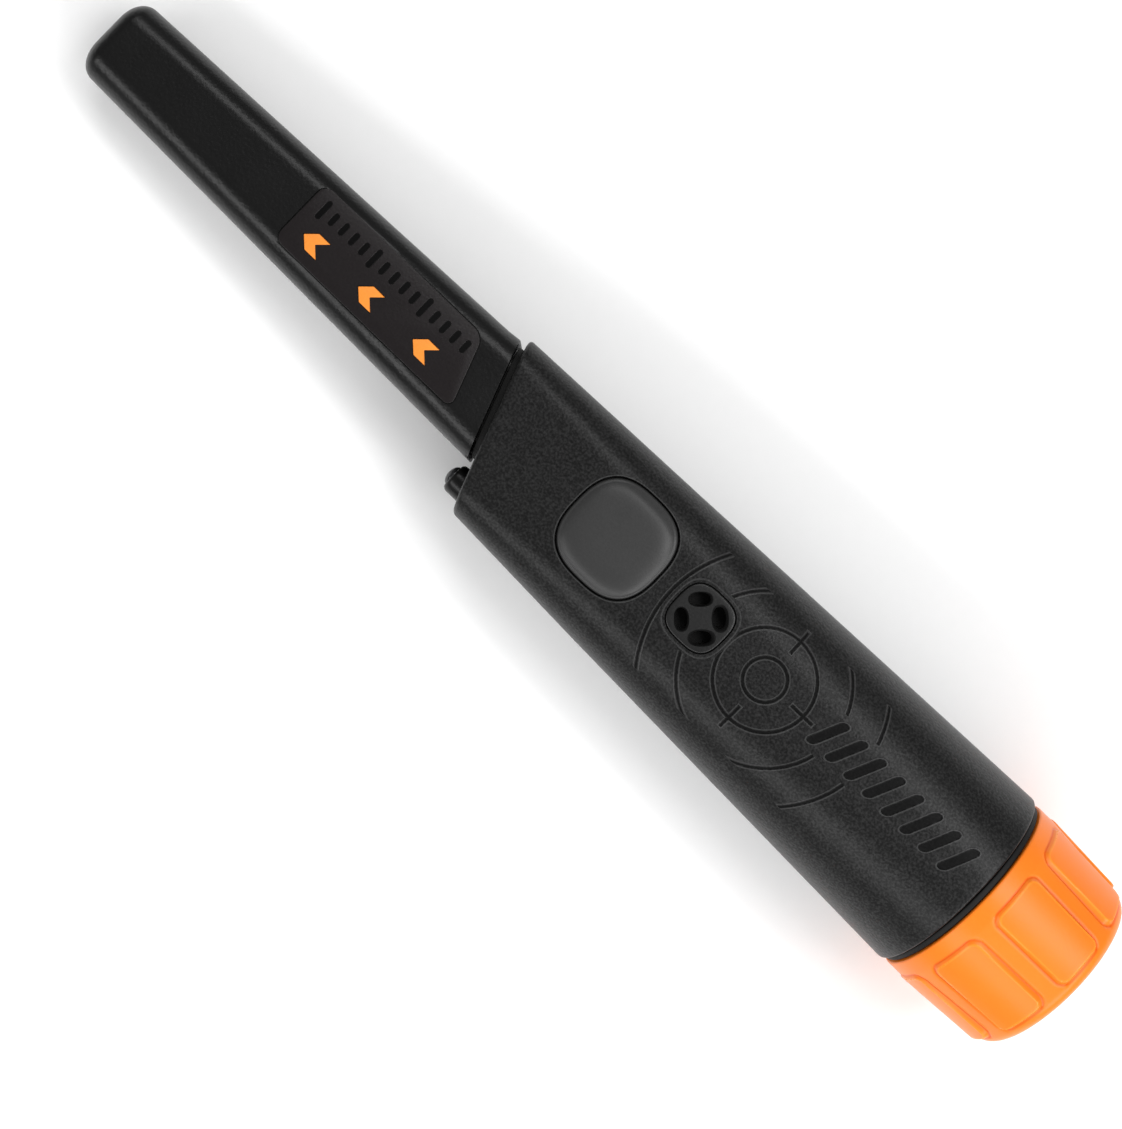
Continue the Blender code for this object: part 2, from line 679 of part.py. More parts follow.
def make_lamp(kit):
    """The lamp in the slanted front: a tube, its domed lens and the light inside."""
    tube = [
        (LAMP_TIP_X, LAMP_R - 0.5 * MM),
        (LAMP_TIP_X + 0.5 * MM, LAMP_R),
        (-16.0 * MM, LAMP_R),
        (-16.0 * MM, LAMP_R - 0.8 * MM),
        (LAMP_TIP_X, LAMP_R - 0.8 * MM),
    ]
    kit.node("lamp_bezel", turned(tube, LAMP_Y, 0.0, 24), (RUBBER, 0.25))
    r = LAMP_R - 0.8 * MM - 0.15 * MM
    tip = LAMP_TIP_X - 0.7 * MM
    lens = [(tip, r * 0.3), (tip + 0.2 * MM, r * 0.72), (tip + 0.7 * MM, r), (tip + 2.2 * MM, r)]
    kit.node("lamp_lens", turned(lens, LAMP_Y, 0.0, 20, closed=False), (WHITE, 0.1))
    led = [(-23.7, 0.6), (-23.3, 1.2), (-22.5, 1.5), (-19.0, 1.5), (-19.0, 1.8), (-18.2, 1.8)]
    led = [(x * MM, radius * MM) for x, radius in led]
    kit.node("lamp_led", turned(led, LAMP_Y, 0.0, 24, closed=False), (WHITE, 0.15))


def screw_places():
    """Where the four board screws stand."""
    return [(x, y) for x in SCREW_X for y in (-SCREW_Y, SCREW_Y)]


def make_board(kit):
    """The circuit board and the pieces soldered to it."""
    low, high = BOARD_Z
    slab = box((BOARD_X[0], -BOARD_HALF_Y, low), (BOARD_X[1], BOARD_HALF_Y, high))
    board = kit.node("main_circuit_board", slab, (BOARD, 0.45), smooth=False)
    holes = [disc(low - MM, high + MM, 1.3 * MM, x, y, 16) for x, y in screw_places()]
    boolean(board, kit.cutter("board_holes", merged(holes)), "DIFFERENCE")

    top = high + 0.05 * MM
    switch = box((BUTTON_X - 3.0 * MM, -2.0 * MM, top), (BUTTON_X + 3.0 * MM, 4.0 * MM, 7.2 * MM))
    body = kit.node("tactile_switch", switch, (RUBBER, 0.5), smooth=False)
    bevelled(body, 0.3 * MM, 1)
    well = disc(4.6 * MM, 9.0 * MM, 1.8 * MM, BUTTON_X, BUTTON_Y, 20)
    boolean(body, kit.cutter("plunger_well", well), "DIFFERENCE")
    plunger = disc(5.6 * MM, 8.5 * MM, 1.5 * MM, BUTTON_X, BUTTON_Y, 20, 0.2 * MM)
    kit.node("switch_plunger", plunger, (STEEL, 0.4, 0.6), origin=(BUTTON_X, BUTTON_Y, 5.6 * MM))

    package = box((34.0 * MM, -5.0 * MM, top), (44.0 * MM, 5.0 * MM, top + 1.4 * MM))
    chip = kit.node("microcontroller", package, (RUBBER, 0.4), smooth=False)
    bevelled(chip, 0.25 * MM, 1)
    can = box((-9.0 * MM, -4.0 * MM, top), (-5.5 * MM, 6.0 * MM, top + 3.2 * MM))
    crystal = kit.node("quartz_crystal", can, (STEEL, 0.3, 1.0))
    bevelled(crystal, 1.2 * MM, 3)
    profile = [(9.5 * MM, 2.0 * MM), (9.8 * MM, 2.3 * MM), (14.4 * MM, 2.3 * MM), (14.8 * MM, 2.0 * MM)]
    capacitor = turned(profile, 9.0 * MM, high + 2.5 * MM, 20, closed=False)
    kit.node("smoothing_capacitor", capacitor, (STEEL, 0.4, 0.8))


def make_chassis(kit):
    """The plastic tray under the board, with a post beneath each screw, and the four screws."""
    low, floor, rest = -8.6 * MM, -7.4 * MM, BOARD_Z[0] - GAP
    tray = box((BOARD_X[0], -BOARD_HALF_Y + MM, low), (BOARD_X[1], BOARD_HALF_Y - MM, floor))
    node = kit.node("chassis_frame", tray, (GREY, 0.6), smooth=False)
    posts = [disc(low + 0.6 * MM, rest, 1.45 * MM, x, y, 16) for x, y in screw_places()]
    boolean(node, kit.cutter("chassis_posts", merged(posts)), "UNION")
    wells = [disc(-5.0 * MM, rest + MM, 0.95 * MM, x, y, 12) for x, y in screw_places()]
    boolean(node, kit.cutter("chassis_wells", merged(wells)), "DIFFERENCE")
    top = BOARD_Z[1] + 0.05 * MM
    shape = [
        (-4.6 * MM, 0.5 * MM),
        (-4.2 * MM, 0.75 * MM),
        (top, 0.75 * MM),
        (top, 1.7 * MM),
        (top + 0.6 * MM, 1.7 * MM),
        (top + 1.0 * MM, 1.2 * MM),
    ]
    for place, (x, y) in zip(("front_right", "front_left", "rear_right", "rear_left"), screw_places()):
        kit.node(f"board_screw_{place}", turned(shape, x, y, 16, "Z", False), (STEEL, 0.3, 1.0))


def make_motor(kit):
    """The buzzing motor below the board: its can, the clip round it and the eccentric weight."""
    start, end = MOTOR_X
    r = MOTOR_R
    can = [
        (start, r - 0.4 * MM),
        (start + 0.4 * MM, r),
        (end, r),
        (end, 1.2 * MM),
        (end + 0.8 * MM, 1.2 * MM),
        (end + 0.8 * MM, 0.55 * MM),
        (end - 3.0 * MM, 0.55 * MM),
    ]
    kit.node("vibration_motor", turned(can, MOTOR_Y, MOTOR_Z, 24, closed=False), (STEEL, 0.35, 1.0))
    low = (start + 3.0 * MM, MOTOR_Y - r - MM, -7.1 * MM)
    high = (end - 4.0 * MM, MOTOR_Y + r + MM, MOTOR_Z + 1.2 * MM)
    clip = kit.node("motor_clip", box(low, high), (GREY, 0.6), smooth=False)
    seat_r = r + 0.15 * MM
    seat = turned([(start + MM, seat_r), (end - MM, seat_r)], MOTOR_Y, MOTOR_Z, 24, closed=False)
    boolean(clip, kit.cutter("motor_seat", seat), "DIFFERENCE")
    weight = []
    near, far = end + 1.2 * MM, end + 4.8 * MM
    for x, shaft in ((end - 2.0 * MM, True), (near, True), (near, False), (far, False)):
        ring = []
        for k in range(24):
            angle = 2 * math.pi * k / 24
            heavy = 2.9 * MM if math.sin(angle) < 0.1 else 0.9 * MM
            radius = 0.4 * MM if shaft else heavy
            ring.append((x, MOTOR_Y + radius * math.cos(angle), MOTOR_Z + radius * math.sin(angle)))
        weight.append(ring)
    origin = (near, MOTOR_Y, MOTOR_Z)
    kit.node("motor_weight", loft(weight), (STEEL, 0.45, 1.0), origin=origin, smooth=False)


def sweep(points, radius, sides=6):
    """A round wire along a path."""
    rings = []
    side = Vector((0.0, 1.0, 0.02)).normalized()
    for k, point in enumerate(points):
        before, after = Vector(points[max(k - 1, 0)]), Vector(points[min(k + 1, len(points) - 1)])
        along = (after - before).normalized()
        side = (side - along * side.dot(along)).normalized()
        other = along.cross(side)
        ring = []
        for j in range(sides):
            angle = 2 * math.pi * j / sides
            ring.append(Vector(point) + side * radius * math.cos(angle) + other * radius * math.sin(angle))
        rings.append(ring)
    return loft(rings)


def eased_path(stations, steps=5):
    """Points that pass smoothly through the stations."""
    points = []
    for k in range(len(stations) - 1):
        a = Vector(stations[max(k - 1, 0)])
        b, c = Vector(stations[k]), Vector(stations[k + 1])
        d = Vector(stations[min(k + 2, len(stations) - 1)])
        for j in range(steps):
            t = j / steps
            even = 2 * b + (2 * a - 5 * b + 4 * c - d) * t * t
            odd = (c - a) * t + (3 * b - a - 3 * c + d) * t**3
            points.append(0.5 * (even + odd))
    points.append(Vector(stations[-1]))
    return points


def make_leads(kit):
    """The two lead bundles that run inside: coils to board, and contact board to board."""
    coil = [(-20.0, 3.5, -7.0), (-13.0, 3.5, -5.0), (-9.0, 1.0, -1.0), (-6.0, 1.0, 1.6)]
    coil = [(x * MM, y * MM, z * MM) for x, y, z in coil]
    kit.node("coil_lead", sweep(eased_path(coil), 0.7 * MM), (RUBBER, 0.6))
    power = [(50.1, 0.0, 0.0), (47.0, 0.0, -0.6), (42.0, 0.0, -2.0), (37.0, 0.0, 0.0), (35.0, 0.0, 1.6)]
    power = [(x * MM, y * MM, z * MM) for x, y, z in power]
    kit.node("battery_lead", sweep(eased_path(power), 0.7 * MM), ((0.5, 0.02, 0.02, 1.0), 0.5))


def make_coils(kit):
    """The ferrite rod, its former and the two windings, inside the nose."""
    rod = [(-121.6 * MM, 2.6 * MM), (-121.2 * MM, 3.0 * MM), (-36.4 * MM, 3.0 * MM), (-36.0 * MM, 2.6 * MM)]
    kit.node("ferrite_rod", turned(rod, NOSE_Y, 0.0, 24, closed=False), (FERRITE, 0.7))
    bore, tube, flange = 3.3, 4.0, 4.85
    former = [(-121.8, flange), (-120.8, flange), (-120.8, tube), (-104.0, tube), (-104.0, flange)]
    former += [(-103.0, flange), (-103.0, tube), (-50.0, tube), (-50.0, flange), (-49.0, flange)]
    former += [(-49.0, tube), (-44.0, tube), (-44.0, bore), (-121.8, bore)]
    former = [(x * MM, radius * MM) for x, radius in former]
    kit.node("coil_former", turned(former, NOSE_Y, 0.0, 16), (WHITE, 0.5))
    low, high = (tube + 0.25) * MM, (flange - 0.1) * MM
    shoulder = high - 0.15 * MM
    for name, a, b in (("receive_coil", -120.5 * MM, -104.3 * MM), ("transmit_coil", -102.7 * MM, -50.3 * MM)):
        winding = [(a, low), (a, shoulder), (a + 0.3 * MM, high), (b - 0.3 * MM, high), (b, shoulder), (b, low)]
        kit.node(name, turned(winding, NOSE_Y, 0.0, 20), (COPPER, 0.4, 0.9))


def make_seal(kit):
    """The rubber ring between handle and cap."""
    low, high = SEAL_X
    inner, edge = NECK_R + GAP, 0.25 * MM
    ring = [(low, inner), (low, SEAL_R - edge), (low + edge, SEAL_R), (high - edge, SEAL_R)]
    ring += [(high, SEAL_R - edge), (high, inner)]
    kit.node("cap_seal_ring", turned(ring, 0.0, 0.0, 48), (RUBBER, 0.75))


def pad_solid(angle):
    """One raised grip pad: a rounded rectangle wrapped on the cap."""
    start, end = PAD_X
    half = PAD_SPAN / 2
    outline = []
    middle_r = (PAD_R[0] + PAD_R[1]) / 2
    corner_a = PAD_CORNER / middle_r
    for quadrant in range(4):
        for k in range(4):
            turn = math.pi / 2 * (quadrant + k / 3)
            cx = (end - PAD_CORNER) if quadrant in (0, 3) else (start + PAD_CORNER)
            ca = (half - corner_a) if quadrant in (0, 1) else (-half + corner_a)
            outline.append((cx + PAD_CORNER * math.cos(turn), ca + corner_a * math.sin(turn)))
    rings = []
    for level, inset in ((0.0, 0.0), (0.7, 0.0), (1.0, 0.3 * MM)):
        ring = []
        for x, a in outline:
            part = (x - start) / (end - start)
            top = PAD_R[0] + (PAD_R[1] - PAD_R[0]) * part
            radius = top - (PAD_ROOT if level == 0.0 else 0.5 * MM) * (1.0 - level)
            x_in = x + math.copysign(inset, (start + end) / 2 - x)
            a_in = a - math.copysign(inset / middle_r, a)
            ring.append((x_in, radius * math.sin(a_in + angle), radius * math.cos(a_in + angle)))
        rings.append(ring)
    return loft(rings)


def make_cap(kit):
    """The battery cap: a tapered cup with eight raised grip pads outside and a thread inside."""
    cone, floor = CAP_END_X - CAP_FILLET, CAP_END_X - CAP_FLOOR
    profile = [(floor, 1.0 * MM), (floor, 15.2 * MM), (CAP_STEP_X, 15.9 * MM), (CAP_STEP_X, CAP_ROOT_R)]
    profile += [(CAP_START_X, CAP_ROOT_R), (CAP_START_X, CAP_R - 0.3 * MM), (CAP_START_X + 0.3 * MM, CAP_R)]
    profile += [(CAP_COLLAR_X, CAP_R), (cone, CAP_END_R)]
    for k in range(1, 5):
        turn = math.pi / 2 * k / 4
        profile.append((cone + CAP_FILLET * math.sin(turn), CAP_END_R - CAP_FILLET * (1 - math.cos(turn))))
    profile.append((CAP_END_X, 1.0 * MM))
    shape = turned(profile, 0.0, 0.0, 56, closed=False)
    cap = kit.node("battery_cap", shape, (ORANGE, 0.4), origin=(CAP_START_X, 0.0, 0.0))
    start, turns = CAP_THREAD
    boolean(cap, kit.cutter("cap_thread", helix(start, turns, CAP_ROOT_R, CAP_RIDGE_R)), "UNION")
    pads = [pad_solid(-(PAD_PHASE + 2 * math.pi * k / PADS)) for k in range(PADS)]
    boolean(cap, kit.cutter("cap_pads", merged(pads)), "UNION", "MANIFOLD")
    near, far = PRESSURE_PAD_X
    pad = [(near, 0.8 * MM), (near, 11.5 * MM), (near + 0.6 * MM, 12.2 * MM), (far - 0.6 * MM, 12.2 * MM)]
    pad += [(far, 11.5 * MM), (far, 0.8 * MM)]
    shape = turned(pad, 0.0, 0.0, 24, closed=False)
    kit.node("battery_pressure_pad", shape, (RUBBER, 0.8), origin=(near, 0.0, 0.0))


def make_power(kit):
    """The battery, its terminals, the guides either side of it and the contact board with its springs."""
    start, end = BATTERY_X
    block = box((start, -BATTERY_HALF_Y, -BATTERY_HALF_Z), (end, BATTERY_HALF_Y, BATTERY_HALF_Z))
    origin = (start, 0.0, 0.0)
    battery = kit.node("battery_9v", block, (RUBBER, 0.4), origin=origin)
    bevelled(battery, 2.0 * MM, 3)
    back = start - 0.05 * MM
    stud = [(back - TERMINAL_L, 2.4 * MM), (back - TERMINAL_L + 0.6 * MM, 2.8 * MM)]
    stud += [(back - 0.8 * MM, 2.5 * MM), (back, 2.8 * MM)]
    shape = turned(stud, -TERMINAL_Y, 0.0, 24, closed=False)
    kit.node("battery_terminal_positive", shape, (STEEL, 0.3, 1.0), origin=origin)
    cup = [(back - TERMINAL_L, 3.4 * MM), (back, 3.8 * MM)]
    shape = turned(cup, TERMINAL_Y, 0.0, 6, closed=False)
    kit.node("battery_terminal_negative", shape, (STEEL, 0.3, 1.0), origin=origin, smooth=False)

    board_low, board_high = CONTACT_X
    plate = [(board_low, 0.5 * MM), (board_low, 15.6 * MM), (board_high, 15.6 * MM), (board_high, 0.5 * MM)]
    kit.node("contact_board", turned(plate, 0.0, 0.0, 32, closed=False), (BOARD, 0.45))
    for name, y in (("contact_spring_positive", -TERMINAL_Y), ("contact_spring_negative", TERMINAL_Y)):
        room = back - TERMINAL_L - board_high - 0.2 * MM - 2 * SPRING_WIRE_R
        points = []
        count = SPRING_TURNS * SPRING_STEPS
        for k in range(count + 1):
            angle = 2 * math.pi * k / SPRING_STEPS
            x = board_high + 0.1 * MM + SPRING_WIRE_R + room * k / count
            r = SPRING_R * (1.0 - 0.35 * k / count)
            points.append((x, y + r * math.cos(angle), r * math.sin(angle)))
        kit.node(name, sweep(points, SPRING_WIRE_R, 5), (COPPER, 0.35, 1.0))

    for name, side in (("battery_guide_upper", 1.0), ("battery_guide_lower", -1.0)):
        rings = []
        for x in (54.0 * MM, 101.0 * MM):
            r = BORE_R - GAP
            most = math.acos((BATTERY_HALF_Z + GAP) / r)
            angles = [most * (k / 6 - 1) for k in range(13)]
            rings.append([(x, r * math.sin(a), side * r * math.cos(a)) for a in angles])
        kit.node(name, loft(rings), (GREY, 0.6))


def main():
    """Build every piece of the pinpointer."""
    clear_scene()
    kit = Kit(make_device_frame())
    make_body(kit)
    make_nose(kit)
    make_label(kit)
    make_button(kit)
    make_speaker(kit)
    make_lamp(kit)
    make_board(kit)
    make_chassis(kit)
    make_motor(kit)
    make_leads(kit)
    make_coils(kit)
    make_seal(kit)
    make_cap(kit)
    make_power(kit)


main()
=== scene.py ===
"""Looks for a hand-held pinpointer probe: nose, handle, button, lamp, grille, seal and battery cap.

Shapes are drawn in the device's own frame, where X runs along the device towards the cap, Y across the
button face and Z out of it. The DEVICE matrix lays the device on its back on the ground.
"""

from __future__ import annotations

import logging
import math
from collections.abc import Callable, Sequence
from dataclasses import dataclass
from enum import Enum

import bmesh
import bpy
from mathutils import Matrix, Vector


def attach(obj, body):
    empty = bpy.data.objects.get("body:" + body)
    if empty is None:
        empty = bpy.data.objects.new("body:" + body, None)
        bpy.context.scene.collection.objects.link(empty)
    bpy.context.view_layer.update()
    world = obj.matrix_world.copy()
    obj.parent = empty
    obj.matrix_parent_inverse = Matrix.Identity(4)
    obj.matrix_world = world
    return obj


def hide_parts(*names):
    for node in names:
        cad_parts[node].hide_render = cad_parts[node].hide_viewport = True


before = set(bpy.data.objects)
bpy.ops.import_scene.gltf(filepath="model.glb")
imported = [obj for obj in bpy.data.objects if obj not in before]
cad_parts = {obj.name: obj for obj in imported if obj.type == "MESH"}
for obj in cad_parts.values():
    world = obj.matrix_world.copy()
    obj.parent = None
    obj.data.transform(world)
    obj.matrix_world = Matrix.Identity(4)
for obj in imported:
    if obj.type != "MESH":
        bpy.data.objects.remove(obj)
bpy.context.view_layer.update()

LOG = logging.getLogger("pinpointer")

MM = 0.001
TILT = math.atan(0.0577)
SHIFT_X = 4.673 * MM
LIFT = 14.654 * MM * math.cos(TILT)
DEVICE = Matrix.Translation((SHIFT_X, 0.0, LIFT)) @ Matrix.Rotation(-TILT, 4, "Y")
WELD = 0.000002
SMOOTH_ANGLE = math.radians(34.0)

Colour = Sequence[float] | bpy.types.NodeSocket
Row = Callable[[float], Vector]
Profile = Sequence[tuple[float, float]]


# -------------------------------------------------------------------------------- shader maths


class Value:
    """A number that varies over a surface, written with ordinary operators."""

    def __init__(self, shop: "Shader", socket: bpy.types.NodeSocket) -> None:
        """Keep the shader it belongs to and the socket that carries it."""
        self.shop = shop
        self.socket = socket

    def _math(self, operation: str, *values: "Value | float", clamp: bool = False) -> "Value":
        """Add one Math node.

        Args:
            operation: The node's operation.
            values: Its inputs, as values or numbers.
            clamp: Whether the result is held between 0 and 1.

        Returns:
            The node's result.
        """
        node = self.shop.node("ShaderNodeMath", {"operation": operation, "use_clamp": clamp}, list(values))
        return Value(self.shop, node.outputs[0])

    def __add__(self, other: "Value | float") -> "Value":
        """This value plus another."""
        return self._math("ADD", self, other)

    __radd__ = __add__

    def __sub__(self, other: "Value | float") -> "Value":
        """This value less another."""
        return self._math("SUBTRACT", self, other)

    def __rsub__(self, other: float) -> "Value":
        """A number less this value."""
        return self._math("SUBTRACT", other, self)

    def __mul__(self, other: "Value | float") -> "Value":
        """This value times another."""
        return self._math("MULTIPLY", self, other)

    __rmul__ = __mul__

    def __truediv__(self, other: "Value | float") -> "Value":
        """This value over another."""
        return self._math("DIVIDE", self, other)

    def __neg__(self) -> "Value":
        """This value with its sign changed."""
        return self._math("MULTIPLY", self, -1.0)

    def __abs__(self) -> "Value":
        """This value without its sign."""
        return self._math("ABSOLUTE", self)

    def at_least(self, other: "Value | float") -> "Value":
        """The larger of this value and another."""
        return self._math("MAXIMUM", self, other)

    def at_most(self, other: "Value | float") -> "Value":
        """The smaller of this value and another."""
        return self._math("MINIMUM", self, other)

    def __pow__(self, power: float) -> "Value":
        """This raised to a power."""
        return self._math("POWER", self, power)

    def root(self) -> "Value":
        """The square root."""
        return self._math("SQRT", self)

    def folded(self, period: float) -> "Value":
        """The distance to the nearest multiple of a period."""
        return self._math("PINGPONG", self, period / 2.0)

    def wave(self) -> "Value":
        """The sine."""
        return self._math("SINE", self)

    def angle_from(self, other: "Value | float") -> "Value":
        """The angle whose tangent is this value over another."""
        return self._math("ARCTAN2", self, other)

    def ramp(self, low: float, high: float) -> "Value":
        """An eased step from 0 at low to 1 at high; low may be the larger.

        Args:
            low: The value that gives 0.
            high: The value that gives 1.

        Returns:
            The step.
        """
        settings = {"interpolation_type": "SMOOTHSTEP"}
        node = self.shop.node("ShaderNodeMapRange", settings, {0: self, 1: low, 2: high, 3: 0.0, 4: 1.0})
        return Value(self.shop, node.outputs[0])


def length_of(one: Value, two: Value) -> Value:
    """The length of a pair of values at right angles."""
    return (one * one + two * two).root()


class Shader:
    """One material's nodes, with the few helpers that every finish uses."""

    def __init__(self, name: str) -> None:
        """Make an empty Principled material.

        Args:
            name: The material's name.
        """
        self.material = bpy.data.materials.new(name)
        self.material.use_nodes = True
        self.tree = self.material.node_tree
        self.surface = self.tree.nodes["Principled BSDF"]

    def node(
        self, kind: str, settings: dict[str, object] | None = None, sockets: dict | list | None = None
    ) -> bpy.types.Node:
        """Add any node.

        Args:
            kind: The node's type.
            settings: Its properties, set before its sockets.
            sockets: Values or links by input name or number.

        Returns:
            The new node.
        """
        made = self.tree.nodes.new(kind)
        for name, value in (settings or {}).items():
            setattr(made, name, value)
        pairs = enumerate(sockets) if isinstance(sockets, list) else (sockets or {}).items()
        for key, value in pairs:
            self.feed(made.inputs[key], value)
        return made

    def feed(self, socket: bpy.types.NodeSocket, value: object) -> None:
        """Set a socket, or link it to a value or another socket."""
        if isinstance(value, Value):
            value = value.socket
        if isinstance(value, bpy.types.NodeSocket):
            self.tree.links.new(value, socket)
        else:
            socket.default_value = value

    def device_vector(self) -> bpy.types.NodeSocket:
        """Positions in the device's own frame, in millimetres.

        Returns:
            The socket that carries them.
        """
        spot = self.node("ShaderNodeTexCoord").outputs["Object"]
        back = DEVICE.inverted()
        turned = self.node(
            "ShaderNodeMapping",
            {"vector_type": "POINT"},
            {
                "Vector": spot,
                "Location": back.translation / MM,
                "Rotation": back.to_euler(),
                "Scale": (1.0 / MM, 1.0 / MM, 1.0 / MM),
            },
        )
        return turned.outputs[0]

    def axes(self, vector: bpy.types.NodeSocket) -> tuple[Value, Value, Value]:
        """A vector's three parts."""
        split = self.node("ShaderNodeSeparateXYZ", {}, [vector])
        return tuple(Value(self, out) for out in split.outputs)

    def noise(
        self, vector: bpy.types.NodeSocket, per_mm: float, detail: float = 3.0, rough: float = 0.55
    ) -> Value:
        """Cloudy noise from 0 to 1.

        Args:
            vector: Where it is read, in millimetres.
            per_mm: How many lumps there are in a millimetre.
            detail: How many finer layers are added.
            rough: How strong the finer layers are.

        Returns:
            The noise.
        """
        sockets = {"Vector": vector, "Scale": per_mm, "Detail": detail, "Roughness": rough}
        return Value(self, self.node("ShaderNodeTexNoise", {}, sockets).outputs[0])

    def cells(self, vector: bpy.types.NodeSocket, per_mm: float) -> Value:
        """The distance to the nearest of many scattered points."""
        sockets = {"Vector": vector, "Scale": per_mm}
        return Value(self, self.node("ShaderNodeTexVoronoi", {}, sockets).outputs[0])

    def mixed(self, share: Value | float, one: Colour, two: Colour) -> bpy.types.NodeSocket:
        """A colour part of the way from one to another."""
        node = self.node("ShaderNodeMix", {"data_type": "RGBA"}, {0: share, 6: one, 7: two})
        return node.outputs[2]

    def relief(self, height: Value, strength: float = 1.0) -> None:
        """Raise the surface by a height in millimetres."""
        bump = self.node("ShaderNodeBump", {}, {"Strength": strength, "Distance": MM, "Height": height})
        self.feed(self.surface.inputs["Normal"], bump.outputs[0])

    def sink(self, share: Value, level: float, rough: float) -> None:
        """Mix in a near-black, dull surface where a share is 1; on the handle this is painted shade for the
        inside of its narrow grooves and slots.

        Args:
            share: How much of the dark surface shows, from 0 to 1.
            level: The dark surface's grey.
            rough: Its roughness.
        """
        sockets = {"Base Color": grey(level), "Roughness": rough, "Specular IOR Level": 0.08}
        dark = self.node("ShaderNodeBsdfPrincipled", {}, sockets)
        both = self.node("ShaderNodeMixShader", {}, [share, self.surface.outputs[0], dark.outputs[0]])
        self.tree.links.new(both.outputs[0], self.tree.nodes["Material Output"].inputs["Surface"])

    def set(self, **sockets: object) -> None:
        """Set the surface's sockets, each named in lower case with underscores."""
        for name, value in sockets.items():
            self.feed(self.surface.inputs[name.replace("_", " ").title().replace("Ior", "IOR")], value)


def grey(level: float, warmth: float = 0.0) -> tuple[float, float, float, float]:
    """A grey, with a touch more red than blue where it is warm."""
    return (level * (1.0 + warmth), level, level * (1.0 - warmth), 1.0)


# -------------------------------------------------------------------------------- finishes


@dataclass(frozen=True)
class GrainedPlastic:
    """Injection-moulded plastic with a fine spark-eroded grain."""

    name: str
    colour: tuple[float, float, float, float]
    roughness: float = 0.5
    grain: float = 0.012
    per_mm: float = 5.0
    specular: float = 0.5
    speckle: float = 1.2

    def height(self, shader: Shader, spot: bpy.types.NodeSocket) -> Value:
        """The grain's height in millimetres."""
        fine = shader.noise(spot, self.per_mm, 2.0, 0.6)
        pits = shader.cells(spot, self.per_mm * 0.55).ramp(0.0, 0.7)
        return (fine * 0.7 + pits * 0.5) * self.grain

    def made(self) -> bpy.types.Material:
        """Make the finish.

        Returns:
            The finished material.
        """
        shader = Shader(self.name)
        spot = shader.device_vector()
        cloud = shader.noise(spot, 0.09, 4.0, 0.6)
        speck = shader.noise(spot, 2.4, 2.0)
        tone = (cloud - 0.5) * 0.22 + (speck - 0.5) * self.speckle + 0.5
        low = tuple(c * 0.75 for c in self.colour[:3]) + (1.0,)
        high = tuple(min(c * 1.25, 1.0) for c in self.colour[:3]) + (1.0,)
        shader.set(base_color=shader.mixed(tone, low, high))
        shader.set(roughness=(cloud - 0.5) * 0.12 + (speck - 0.5) * 0.08 + self.roughness)
        shader.surface.inputs["Specular IOR Level"].default_value = self.specular
        shader.relief(self.height(shader, spot))
        return shader.material


